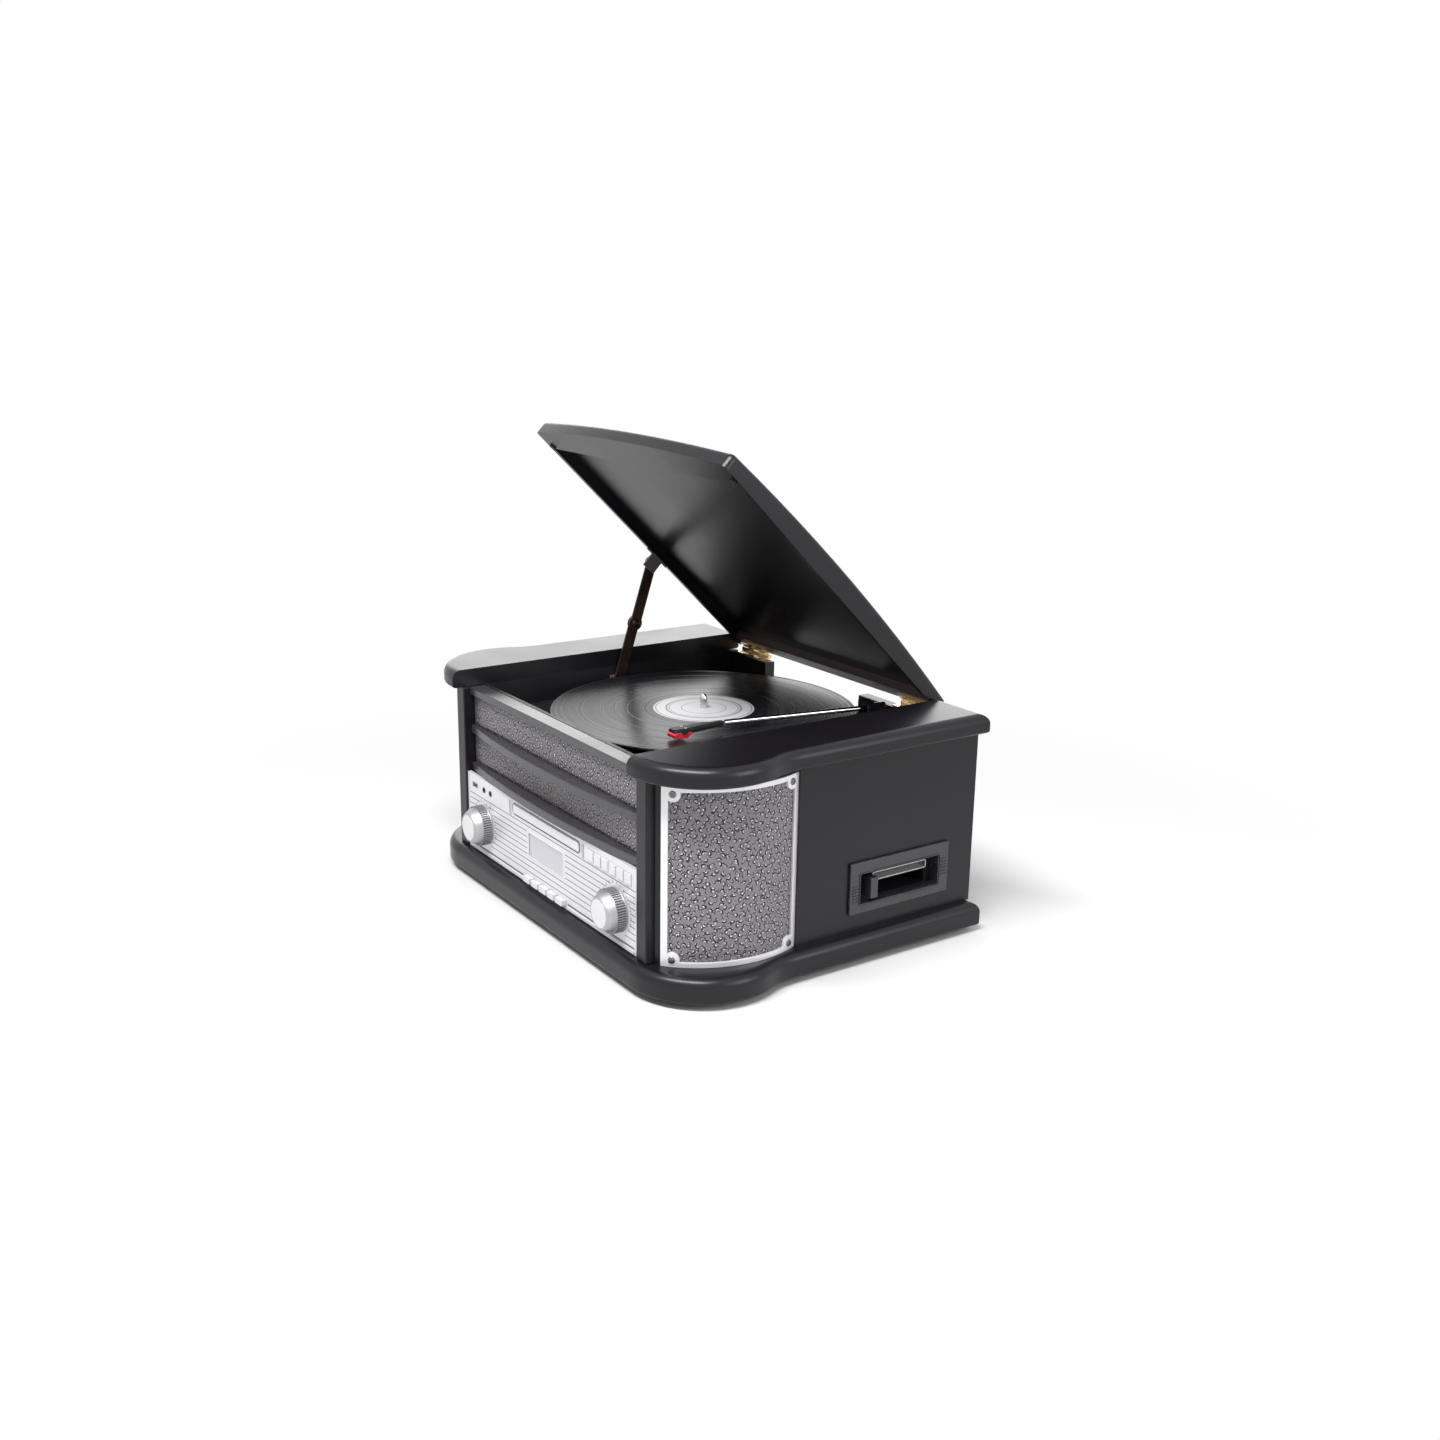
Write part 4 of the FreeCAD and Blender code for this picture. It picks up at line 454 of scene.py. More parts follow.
def grow_step(tree, kind, **inputs):
    """One node of a tree, with its inputs set or linked. An underscore stands for a space."""
    node = tree.nodes.new(kind)
    for label, value in inputs.items():
        feed(tree, value, node.inputs[label.replace("_", " ")])
    return node


def close_tree(tree, instances, enter, leave):
    """Ends a tree: real meshes, in the tree's own finish."""
    real = grow_step(tree, "GeometryNodeRealizeInstances", Geometry=instances)
    done = grow_step(tree, "GeometryNodeSetMaterial", Geometry=real.outputs[0],
                     Material=enter.outputs["Finish"])
    tree.links.new(done.outputs[0], leave.inputs[0])


def grown(name, tree, body, slot, *replaced, base=None, edge=0.0, **values):
    """Runs a tree with its named inputs and keeps the plain mesh as a piece on a body."""
    piece = link_object(name, base or bpy.data.meshes.new(name))
    maker = piece.modifiers.new("maker", "NODES")
    maker.node_group = tree
    for socket in tree.interface.items_tree:
        if socket.in_out == "INPUT" and socket.name in values:
            maker[socket.identifier] = values[socket.name]
    if edge:
        round_over(piece, edge)
    else:
        plain_mesh(piece)
    settle(piece, body, slot, *replaced)


# Screws on a face: one head on each point, along its facing direction, turned by a seeded chance.
screws_tree, enter, leave = grow_tree("screws_on_faces", Head="Object", Finish="Material", Seed="Int")
facing = grow_step(screws_tree, "GeometryNodeInputNamedAttribute", Name="facing")
facing.data_type = "FLOAT_VECTOR"
upright = grow_step(screws_tree, "FunctionNodeAlignRotationToVector", Vector=facing.outputs["Attribute"])
upright.axis = "Z"
chance = grow_step(screws_tree, "FunctionNodeRandomValue", Seed=enter.outputs["Seed"])
chance.data_type = "FLOAT_VECTOR"
chance.inputs["Min"].default_value = (0.0, 0.0, 0.0)
chance.inputs["Max"].default_value = (0.0, 0.0, math.tau)
driven = grow_step(screws_tree, "FunctionNodeRotateRotation", Rotation=upright.outputs[0],
                   Rotate_By=chance.outputs["Value"])
driven.rotation_space = "LOCAL"
head_shape = grow_step(screws_tree, "GeometryNodeObjectInfo", Object=enter.outputs["Head"])
on_points = grow_step(screws_tree, "GeometryNodeInstanceOnPoints", Points=enter.outputs["Geometry"],
                      Instance=head_shape.outputs["Geometry"], Rotation=driven.outputs[0])
close_tree(screws_tree, on_points.outputs[0], enter, leave)


def screws(name, places, head, finish, body, slot, *replaced, seed=1):
    """Screw heads at (point, facing) places."""
    base = bpy.data.meshes.new(name)
    base.from_pydata([point for point, way in places], [], [])
    ways = base.attributes.new("facing", "FLOAT_VECTOR", "POINT")
    for item, (point, way) in zip(ways.data, places):
        item.vector = way
    grown(name, screws_tree, body, slot, *replaced, base=base, Head=head, Finish=finish, Seed=seed)


black_zinc = coated("black_zinc", colour=(0.03, 0.03, 0.034), shine=(0.24, 0.36), patches=220.0,
                    pebble=4000.0, depth=0.008 * mm, metallic=0.9)
back_head = cross_head("back_screw_head", back_screw_radius, back_screw_height)
back_places = [(side * back_screw_x, level) for side in (-1, 1) for level in back_screw_levels]
back_places += [(x, back_screw_levels[0]) for x in plinth_screw_x]
screws("back_screws", [((x, back_face, z), backwards) for x, z in back_places], back_head, black_zinc,
       "cabinet", "bright_screw", seed=3)

# Front posts, top rail and the two bowed bars: wood strips with sanded edges, glued between the wings and
# the plinth. The posts are sprayed black like the boards, the rail and the bars in a dark grey satin lacquer.
trim_colour = (0.034, 0.031, 0.036)
trim_edge = 1.2 * mm


def softened(node, name, width, finish, body, slot, flat_within=0.5):
    """A copy of a CAD node with its sharp edges rounded, which stands for the node."""
    rough = bmesh.new()
    rough.from_mesh(nodes[node].data)
    bmesh.ops.remove_doubles(rough, verts=rough.verts, dist=weld)
    bmesh.ops.dissolve_limit(rough, angle_limit=math.radians(flat_within), verts=rough.verts,
                             edges=rough.edges)
    finished(rough, name, finish, body, slot, node, edge=width)


grey_lacquer = coated("grey_lacquer", trim_colour, shine=(0.22, 0.30), patches=14.0, pebble=900.0,
                      depth=0.004 * mm, mirror=0.75)
softened("front_pillars", "front_posts", trim_edge, black_paint, "cabinet", "grey_trim")
softened("front_top_rail", "top_rail", trim_edge, grey_lacquer, "cabinet", "grey_trim")
softened("grille_bars", "bowed_bars", trim_edge, grey_lacquer, "cabinet", "grey_trim")

# Grille cloth: a silver-grey sheet embossed with scattered large and small commas, dark in the hollow and
# with a painted highlight on the raised rim. Two strips are stretched between the front bars, one sheet
# over each corner.
large_pitch = 6.5 * mm
large_lean = 0.6
small_pitch = 4.8 * mm
small_lean = -0.35
cloth_thickness = 0.9 * mm
cloth_grey = (0.190, 0.175, 0.186)
cloth_drift = 0.4
cloth_dark = (0.006, 0.005, 0.007, 1.0)
cloth_painted_highlight = (0.90, 0.88, 0.90, 1.0)
cloth_shine = (0.40, 0.55)
cloth_relief = 0.2 * mm
thread_scale = 1600.0
thread_relief = 0.4
comma_scatter = 0.8
comma_radius = 0.29
comma_width = 0.32
comma_cut = (-0.02, 0.06)
comma_rim_radius = comma_radius - 0.55 * comma_width
comma_rim_width = 0.6 * comma_width


def split_axes(tree, vector):
    """A vector's three values, by their letters."""
    node = tree.nodes.new("ShaderNodeSeparateXYZ")
    tree.links.new(vector, node.inputs[0])
    return node.outputs


def apart(tree, first, second):
    """How far two values are apart."""
    return reckon(tree, "ABSOLUTE", reckon(tree, "SUBTRACT", first, second))


def spun(tree, vector, angle):
    """A flat pattern turned about its third axis."""
    node = tree.nodes.new("ShaderNodeVectorRotate")
    node.rotation_type = "Z_AXIS"
    feed(tree, vector, node.inputs["Vector"])
    feed(tree, angle, node.inputs["Angle"])
    return node.outputs[0]


def crescent(tree, across, along, radius, width, thin=0.25, full=0.35, gone=0.6):
    """1 on a half ring of that radius and width, which thins out towards one of its ends."""
    thickness = spread(tree, along, thin * width, width, -radius, radius)
    off_middle = reckon(tree, "DIVIDE", apart(tree, across, radius), thickness)
    return spread(tree, off_middle, 1.0, 0.0, full, gone, smooth=True)


def commas(tree, flat, pitch, lean):
    """Scattered commas on a flat pattern: where each is hollow, and where its rim is raised and carries a
    painted highlight.
    """
    cells = spun(tree, vector_step(tree, "SCALE", flat, scale=1 / pitch), lean)
    scatter = tree.nodes.new("ShaderNodeTexVoronoi")
    scatter.voronoi_dimensions = "2D"
    scatter.inputs["Scale"].default_value = 1.0
    scatter.inputs["Randomness"].default_value = comma_scatter
    tree.links.new(cells, scatter.inputs["Vector"])
    chance = tree.nodes.new("ShaderNodeSeparateColor")
    tree.links.new(scatter.outputs["Color"], chance.inputs[0])
    own_spot = spun(tree, vector_step(tree, "SUBTRACT", cells, scatter.outputs["Position"]),
                    reckon(tree, "MULTIPLY", chance.outputs[0], math.tau))
    axes = split_axes(tree, own_spot)
    reach = vector_step(tree, "LENGTH", own_spot)
    upper_half = spread(tree, axes["Y"], 0.0, 1.0, *comma_cut)
    hollow = crescent(tree, reach, axes["X"], comma_radius, comma_width)
    rim = crescent(tree, reach, axes["X"], comma_rim_radius, comma_rim_width)
    return reckon(tree, "MULTIPLY", upper_half, hollow), reckon(tree, "MULTIPLY", upper_half, rim)


grille_weave, tree, shader = new_material("grille_weave")
flat = tree.nodes.new("ShaderNodeUVMap")
flat.uv_map = "flat_cloth"
large_hollow, large_rim_and_highlight = commas(tree, flat.outputs[0], large_pitch, large_lean)
small_hollow, small_rim_highlight = commas(tree, flat.outputs[0], small_pitch, small_lean)
thread = noise(tree, flat.outputs[0], thread_scale, 3.0)
ground = blend_colour(tree, full_range(tree, thread, 0.36, 0.64), shade(cloth_grey, 1 - cloth_drift),
                      shade(cloth_grey, 1 + cloth_drift))
# The dark strokes lie in the hollows; the bright strokes along the rims are a painted highlight.
for mask, share, colour in ((small_rim_highlight, 0.45, cloth_painted_highlight), (small_hollow, 0.9, cloth_dark),
                            (large_hollow, 1.0, cloth_dark), (large_rim_and_highlight, 0.8, cloth_painted_highlight)):
    ground = blend_colour(tree, reckon(tree, "MULTIPLY", mask, share), ground, colour)
feed(tree, ground, shader.inputs["Base Color"])
feed(tree, spread(tree, thread, *cloth_shine), shader.inputs["Roughness"])
raised = reckon(tree, "SUBTRACT", large_rim_and_highlight, reckon(tree, "MAXIMUM", large_hollow, small_hollow))
relief(tree, shader, reckon(tree, "ADD", raised, reckon(tree, "MULTIPLY", thread, thread_relief)),
       cloth_relief)


def stretched_cloth(name, path, low, high, replaced):
    """A sheet stretched along the path of (x, y) points from the height low to the height high."""
    lengths = [0.0]
    for first, second in zip(path, path[1:]):
        lengths.append(lengths[-1] + (second - first).length)
    rows = 12
    sheet = bmesh.new()
    layer = sheet.loops.layers.uv.new("flat_cloth")
    grid = [[sheet.verts.new((point.x, point.y, low + (high - low) * row / rows)) for point in path]
            for row in range(rows + 1)]
    for row in range(rows):
        for step in range(len(path) - 1):
            corners = ((row, step), (row, step + 1), (row + 1, step + 1), (row + 1, step))
            face = sheet.faces.new([grid[r][s] for r, s in corners])
            face.smooth = True
            for loop, (r, s) in zip(face.loops, corners):
                loop[layer].uv = (lengths[s], (high - low) * r / rows)
    mesh = bpy.data.meshes.new(name)
    sheet.to_mesh(mesh)
    sheet.free()
    mesh.materials.append(grille_weave)
    piece = link_object(name, mesh)
    wall = piece.modifiers.new("wall", "SOLIDIFY")
    wall.thickness = cloth_thickness
    wall.offset = -1.0
    plain_mesh(piece)
    settle(piece, "cabinet", "grille_cloth", replaced)


strip_low, strip_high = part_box("front_grille_cloths")
bars_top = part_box("grille_bars")[1].z
bar_height = 8.5 * mm
strip_steps = 24
strip_path = [Vector((strip_low.x + (strip_high.x - strip_low.x) * step / strip_steps, strip_low.y))
              for step in range(strip_steps + 1)]
stretched_cloth("upper_grille_strip", strip_path, bars_top, strip_high.z, "front_grille_cloths")
stretched_cloth("lower_grille_strip", strip_path, strip_low.z, bars_top - bar_height, "front_grille_cloths")

corner_low, corner_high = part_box("speaker_cloths")
corner_radius = 101.0 * mm
corner_reach = 42.1 * mm
corner_front = math.radians(-50.5)
corner_rear = math.asin(corner_reach / corner_radius)
corner_axis = Vector((corner_high.x - corner_radius, corner_high.y - corner_reach))
corner_steps = 40
corner_path = []
for step in range(corner_steps + 1):
    angle = corner_front + (corner_rear - corner_front) * step / corner_steps
    corner_path.append(corner_axis + corner_radius * Vector((math.cos(angle), math.sin(angle))))
mirrored_path = [Vector((-point.x, point.y)) for point in reversed(corner_path)]
stretched_cloth("right_speaker_cloth", corner_path, corner_low.z, corner_high.z, "speaker_cloths")
stretched_cloth("left_speaker_cloth", mirrored_path, corner_low.z, corner_high.z, "speaker_cloths")

# Speaker frames: pressed metal surrounds with a rounded lip, lacquered silver, that clamp the corner cloths
# with a steel screw in each corner. The drivers behind them are of bare steel, as are the controls, the motor
# and the transformer inside.
frame_edge = 0.7 * mm
frame_radius = 103.5 * mm
frame_screw_radius = 3.2 * mm
frame_screw_height = 1.2 * mm
frame_screw_inset = 10.0 * mm
frame_screw_drop = 6.5 * mm
frame_rear_angle = math.radians(24.0)
silver_lacquer = coated("silver_lacquer", colour=(0.80, 0.79, 0.81), shine=(0.26, 0.36), patches=30.0,
                        pebble=1600.0, depth=0.006 * mm, metallic=0.35, drift=0.03)
softened("speaker_frames", "corner_frames", frame_edge, silver_lacquer, "cabinet", "silver_frame")

# Grain: long fine streaks along the first axis of the pattern, for brushed metal and for wood.
streaks, enter, leave = shader_group("streaks", ("Along", "Across"), ("Streak", "Fine"))
stretch = streaks.nodes.new("ShaderNodeCombineXYZ")
for label, socket in zip(("Along", "Across", "Across"), stretch.inputs):
    streaks.links.new(enter.outputs[label], socket)
scratch = vector_step(streaks, "MULTIPLY", enter.outputs["Vector"], stretch.outputs[0])
streaks.links.new(full_range(streaks, noise(streaks, scratch, 1.0)), leave.inputs["Streak"])
streaks.links.new(noise(streaks, scratch, 3.0, 3.0), leave.inputs["Fine"])


def own_axes(tree, place, centre=(0.0, 0.0, 0.0), turn=(0.0, 0.0, 0.0)):
    """A place as seen from a pattern's own axes, which stand at a centre and are turned."""
    axes = tree.nodes.new("ShaderNodeMapping")
    axes.vector_type = "TEXTURE"
    axes.inputs["Location"].default_value = centre
    axes.inputs["Rotation"].default_value = turn
    tree.links.new(place, axes.inputs["Vector"])
    return axes.outputs[0]


def grained(name, colour, shine, along, across, depth, metallic=1.0, drift=0.12, turn=(0.0, 0.0, 0.0)):
    """Brushed metal, or wood where metallic is 0, with its grain along X or along X turned by angles."""
    made, tree, shader = new_material(name)
    place = own_axes(tree, object_place(tree), turn=turn)
    grain = use_group(tree, streaks, place, Along=along, Across=across)
    lay_finish(tree, shader, grain.outputs["Streak"], grain.outputs["Fine"], colour, shine, depth, metallic,
               drift)
    return made


bare_steel = grained("bare_steel", colour=(0.20, 0.195, 0.19), shine=(0.22, 0.36), along=40.0,
                     across=900.0, depth=0.006 * mm)
dress(bare_steel, "speaker_drivers", "knob_controls", "drive_motor", "mains_transformer")
bright_steel = grained("bright_steel", colour=(0.70, 0.69, 0.71), shine=(0.18, 0.30), along=80.0,
                       across=2200.0, depth=0.003 * mm)
frame_low, frame_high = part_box("speaker_frames")
frame_head = cross_head("frame_screw_head", frame_screw_radius, frame_screw_height)
screw_step = frame_screw_inset / frame_radius
frame_places = []
for side in (-1, 1):
    for angle in (corner_front + screw_step, frame_rear_angle - screw_step):
        way = Vector((math.cos(angle), math.sin(angle), 0.0))
        seat = corner_axis.to_3d() + frame_radius * way
        for level in (frame_low.z + frame_screw_drop, frame_high.z - frame_screw_drop):
            frame_places.append(((side * seat.x, seat.y, level), (side * way.x, way.y, 0.0)))
screws("corner_frame_screws", frame_places, frame_head, bare_steel, "cabinet", "bright_screw",
       "speaker_frame_screws", seed=7)

# Control panel: a silver plastic moulding in one piece, with fine dark ruled lines printed across it that
# stop at the display and the knobs. It clips between the posts, under the lower bar.
panel_low, panel_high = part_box("control_panel")
panel_edge = 0.45 * mm
panel_colour = (0.71, 0.70, 0.725)
panel_drift = 0.03
panel_shine = (0.30, 0.38)
panel_metallic = 0.25
panel_relief = 0.004 * mm
line_colour = (0.10, 0.10, 0.115, 1.0)
line_low = 43.0 * mm
line_high = 89.0 * mm
line_pitch = 5.75 * mm
line_half = 0.42 * mm
line_blur = 0.4
line_margin = 3.5 * mm
display_low, display_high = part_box("display_window")
display_margin = 4.0 * mm
knob_x = 130.0 * mm
knob_z = 62.0 * mm
knob_clearance = 24.0 * mm


def flat_length(tree, x, y):
    """How far a point is from an axis, from its two places across it."""
    spot = tree.nodes.new("ShaderNodeCombineXYZ")
    feed(tree, x, spot.inputs["X"])
    feed(tree, y, spot.inputs["Y"])
    return vector_step(tree, "LENGTH", spot.outputs[0])


silver_print, tree, shader = new_material("silver_print")
place = object_place(tree)
skin = use_group(tree, coat_skin, place, Patches=18.0, Pebble=2200.0)
axes = split_axes(tree, place)
across = reckon(tree, "ABSOLUTE", axes["X"])
level = axes["Z"]
rank = reckon(tree, "DIVIDE", reckon(tree, "SUBTRACT", level, line_low), line_pitch)
off_line = reckon(tree, "PINGPONG", rank, 0.5)
ruled = spread(tree, off_line, 1.0, 0.0, (1 - line_blur) * line_half / line_pitch,
               (1 + line_blur) * line_half / line_pitch)
above = reckon(tree, "GREATER_THAN", level, line_low - line_pitch / 2)
below = reckon(tree, "LESS_THAN", level, line_high + line_pitch / 4)
inside = reckon(tree, "LESS_THAN", across, panel_high.x - line_margin)
display_middle = (display_low.z + display_high.z) / 2
past_side = reckon(tree, "SUBTRACT", across, display_high.x + display_margin)
past_top = reckon(tree, "SUBTRACT", apart(tree, level, display_middle),
                  (display_high.z - display_low.z) / 2 + display_margin)
off_display = reckon(tree, "GREATER_THAN", reckon(tree, "MAXIMUM", past_side, past_top), 0.0)
from_knob = flat_length(tree, reckon(tree, "SUBTRACT", across, knob_x),
                        reckon(tree, "SUBTRACT", level, knob_z))
off_knob = reckon(tree, "GREATER_THAN", from_knob, knob_clearance)
for mask in (above, below, inside, off_display, off_knob):
    ruled = reckon(tree, "MULTIPLY", ruled, mask)
clear = blend_colour(tree, skin.outputs["Patch"], shade(panel_colour, 1 - panel_drift),
                     shade(panel_colour, 1 + panel_drift))
feed(tree, blend_colour(tree, ruled, clear, line_colour), shader.inputs["Base Color"])
feed(tree, spread(tree, skin.outputs["Patch"], *panel_shine), shader.inputs["Roughness"])
shader.inputs["Metallic"].default_value = panel_metallic
relief(tree, shader, skin.outputs["Height"], panel_relief)
softened("control_panel", "silver_panel_front", panel_edge, silver_print, "cabinet", "silver_panel")

silver_plastic = coated("silver_plastic", panel_colour, shine=(0.28, 0.36), patches=40.0, pebble=2600.0,
                        depth=panel_relief, metallic=panel_metallic, drift=panel_drift)
# Dark ink for printed marks, also used as painted shade above the foot lips and under the knob ribs.
dark_ink_and_shade = coated("dark_ink_and_shade", colour=(0.075, 0.073, 0.080), shine=(0.4, 0.5), patches=120.0, pebble=4000.0,
                  depth=0.002 * mm)

# Trim on the panel: a proud lip along the foot on both sides of the keys with a dark strip of painted shade
# above it, two pairs of short printed dividers beside the drawer, and a printed scale of ticks round each
# knob.
lip_x = 101.0 * mm
lip_z = 32.2 * mm
lip_length = 118.0 * mm
lip_size = (1.6 * mm, 3.6 * mm)
lip_sunk = 0.3 * mm
lip_edge = 0.5 * mm
shade_band_z = 35.4 * mm
shade_band_size = (0.3 * mm, 1.5 * mm)
divider_x = 70.0 * mm
divider_gap = 2.6 * mm
divider_size = (0.7 * mm, 0.3 * mm, 14.0 * mm)
divider_z = 97.5 * mm
tick_count = 24
tick_radius = 24.6 * mm
tick_size = (2.6 * mm, 0.55 * mm, 0.3 * mm)
tick_lowest = -17.0 * mm

rows_tree, enter, leave = grow_tree("row_of_bars", Count="Int", Start="Vector", Step="Vector", Size="Vector",
                                    Finish="Material")
line = grow_step(rows_tree, "GeometryNodeMeshLine", Count=enter.outputs["Count"],
                 Start_Location=enter.outputs["Start"], Offset=enter.outputs["Step"])
bar = grow_step(rows_tree, "GeometryNodeMeshCube", Size=enter.outputs["Size"])
laid = grow_step(rows_tree, "GeometryNodeInstanceOnPoints", Points=line.outputs[0], Instance=bar.outputs[0])
close_tree(rows_tree, laid.outputs[0], enter, leave)

rings_tree, enter, leave = grow_tree("ring_of_bars", Count="Int", Radius="Float", Centre="Vector",
                                     Size="Vector", Lowest="Float", Finish="Material")
circle = grow_step(rings_tree, "GeometryNodeMeshCircle", Vertices=enter.outputs["Count"],
                   Radius=enter.outputs["Radius"])
spot = grow_step(rings_tree, "GeometryNodeInputPosition")
outward = grow_step(rings_tree, "FunctionNodeAlignRotationToVector", Vector=spot.outputs[0])
outward.axis = "X"
high_enough = reckon(rings_tree, "GREATER_THAN", split_axes(rings_tree, spot.outputs[0])["Y"],
                     enter.outputs["Lowest"])
bar = grow_step(rings_tree, "GeometryNodeMeshCube", Size=enter.outputs["Size"])
ringed = grow_step(rings_tree, "GeometryNodeInstanceOnPoints", Points=circle.outputs[0],
                   Selection=high_enough, Instance=bar.outputs[0], Rotation=outward.outputs[0])
stood_up = grow_step(rings_tree, "GeometryNodeTransform", Geometry=ringed.outputs[0],
                     Translation=enter.outputs["Centre"])
stood_up.inputs["Rotation"].default_value = (math.pi / 2, 0.0, 0.0)
close_tree(rings_tree, stood_up.outputs[0], enter, leave)

panel_face = panel_low.y
grown("panel_foot_lips", rows_tree, "cabinet", "silver_panel", edge=lip_edge, Count=2,
      Start=(-lip_x, panel_face - lip_size[0] / 2 + lip_sunk, lip_z), Step=(2 * lip_x, 0.0, 0.0),
      Size=(lip_length, *lip_size), Finish=silver_plastic)
# Dark strips of painted shade above the lips, where shade falls above each lip.
grown("panel_foot_bands", rows_tree, "cabinet", "silver_panel", Count=2, Start=(-lip_x, panel_face, shade_band_z),
      Step=(2 * lip_x, 0.0, 0.0), Size=(lip_length, *shade_band_size), Finish=dark_ink_and_shade)
for side, name in ((-1, "left_dividers"), (1, "right_dividers")):
    grown(name, rows_tree, "cabinet", "silver_panel", Count=2,
          Start=(side * divider_x, panel_face, divider_z), Step=(side * divider_gap, 0.0, 0.0),
          Size=divider_size, Finish=dark_ink_and_shade)
for side, name in ((-1, "left_knob_scale"), (1, "right_knob_scale")):
    grown(name, rings_tree, "cabinet", "silver_panel", Count=tick_count, Radius=tick_radius,
          Centre=(side * knob_x, panel_face, knob_z), Size=tick_size, Lowest=tick_lowest,
          Finish=dark_ink_and_shade)

# Outlines: a fine silver rim round the display and a dark one round the drawer's slot. Both are thin plastic
# mouldings set into the panel's face.
rim_width = 0.8 * mm
rim_proud = 0.35 * mm
rim_sunk = 0.4 * mm
display_round = 0.6 * mm
drawer_round = 4.0 * mm
drawer_gap = (1.6 * mm, 1.0 * mm)
drawer_low, drawer_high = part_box("cd_tray")


def round_box(half_x, half_y, radius, steps=6):
    """Points round a rectangle with round corners, centred on the origin."""
    points = []
    for corner, (sign_x, sign_y) in enumerate(((1, 1), (-1, 1), (-1, -1), (1, -1))):
        for step in range(steps + 1):
            angle = (corner + step / steps) * math.pi / 2
            points.append((sign_x * (half_x - radius) + radius * math.cos(angle),
                           sign_y * (half_y - radius) + radius * math.sin(angle)))
    return points


def hoop(rough, half_x, half_y, radius, width, low, high, place):
    """Adds a flat rim of a given width round a rounded rectangle."""
    outer = round_box(half_x + width, half_y + width, radius + width)
    inner = round_box(half_x, half_y, radius)
    loops = [[rough.verts.new(place @ Vector((x, y, z))) for x, y in outline]
             for outline, z in ((outer, low), (outer, high), (inner, high), (inner, low))]
    for first, second in zip(loops, loops[1:] + loops[:1]):
        for step in range(len(outer)):
            after = (step + 1) % len(outer)
            rough.faces.new((first[step], first[after], second[after], second[step]))


def facing_front(x, y, z):
    """A place whose outline lies upright, seen from the front, and whose height comes forward."""
    return Matrix.Translation((x, y, z)) @ Matrix.Rotation(math.pi / 2, 4, "X")


rough = bmesh.new()
hoop(rough, display_high.x, (display_high.z - display_low.z) / 2, display_round, rim_width, -rim_sunk,
     rim_proud, facing_front(0.0, panel_face, display_middle))
finished(rough, "display_rim", silver_plastic, "cabinet", "silver_panel")
rough = bmesh.new()
hoop(rough, drawer_high.x + drawer_gap[0], (drawer_high.z - drawer_low.z) / 2 + drawer_gap[1], drawer_round,
     rim_width, -rim_sunk, rim_proud, facing_front(0.0, panel_face, (drawer_low.z + drawer_high.z) / 2))
finished(rough, "drawer_rim", dark_ink_and_shade, "cabinet", "silver_panel")

# Display: a liquid crystal cell behind a clear window, let into an opening of the panel. It is off, so only
# its faint dot grid shows.
display_pale = (0.53, 0.515, 0.565)
display_shine = (0.10, 0.18)
display_coat = 0.6
dot_pitch = 0.9 * mm
dot_edge = (0.04, 0.12)
display_glass, tree, shader = new_material("display_glass")
place = object_place(tree)
axes = split_axes(tree, place)
columns = reckon(tree, "PINGPONG", reckon(tree, "DIVIDE", axes["X"], dot_pitch), 0.5)
rows = reckon(tree, "PINGPONG", reckon(tree, "DIVIDE", axes["Z"], dot_pitch), 0.5)
dots = spread(tree, reckon(tree, "MINIMUM", columns, rows), 0.0, 1.0, *dot_edge)
cast = noise(tree, place, 30.0)
lit = blend_colour(tree, cast, shade(display_pale, 0.94), shade(display_pale, 1.06))
feed(tree, blend_colour(tree, dots, shade(display_pale, 0.86), lit), shader.inputs["Base Color"])
feed(tree, spread(tree, cast, *display_shine), shader.inputs["Roughness"])
shader.inputs["Coat Weight"].default_value = display_coat
dress(display_glass, "display_window")

# Keys: silver plastic mouldings with rounded edges that press back into the panel. Five stand in a row under
# the display, and six caps share one comb.
key_edge = 0.8 * mm
comb_edge = 0.5 * mm
for number in range(1, 6):
    softened(f"lower_key_{number}", f"front_key_{number}", key_edge, silver_plastic, f"lower_key_{number}",
             "silver_panel")
softened("upper_key_comb", "preset_keys", comb_edge, silver_plastic, "upper_keys", "silver_panel")

# Disc drawer: a silver moulded tray with a round-edged front that slides out of the panel. The loader
# behind it is a black plastic box.
drawer_edge = 0.6 * mm
softened("cd_tray", "disc_drawer", drawer_edge, silver_plastic, "cd_tray", "silver_panel")
black_plastic = coated("black_plastic", colour=(0.011, 0.010, 0.013), shine=(0.34, 0.46), patches=25.0,
                       pebble=2600.0, depth=0.02 * mm, mirror=0.38)
dress(black_plastic, "cd_loader")

# Front ports: a pressed steel shell with its black tongue for a memory stick, and two turned jack collars,
# set in the blind recesses left of the drawer.
port_z = 98.75 * mm
port_floor = 2.3 * mm
stick_port_x = -148.8 * mm
port_inside = (5.5 * mm, 1.9 * mm)
port_round = 0.3 * mm
port_wall = 0.45 * mm
port_proud = 0.25 * mm
tongue_half = (4.4 * mm, 0.8 * mm)
tongue_rise = 0.7 * mm
tongue_sunk = 0.2 * mm
front_jack_x = (-129.0 * mm, -115.0 * mm)
front_jack_profile = [(1.25 * mm, -port_floor), (1.85 * mm, -port_floor), (1.85 * mm, 0.0), (2.9 * mm, 0.0),
                      (2.9 * mm, 0.35 * mm), (2.5 * mm, 0.6 * mm), (1.5 * mm, 0.6 * mm),
                      (1.25 * mm, 0.3 * mm)]
forwards = (0.0, -1.0, 0.0)
small_steps = 32
rough = bmesh.new()
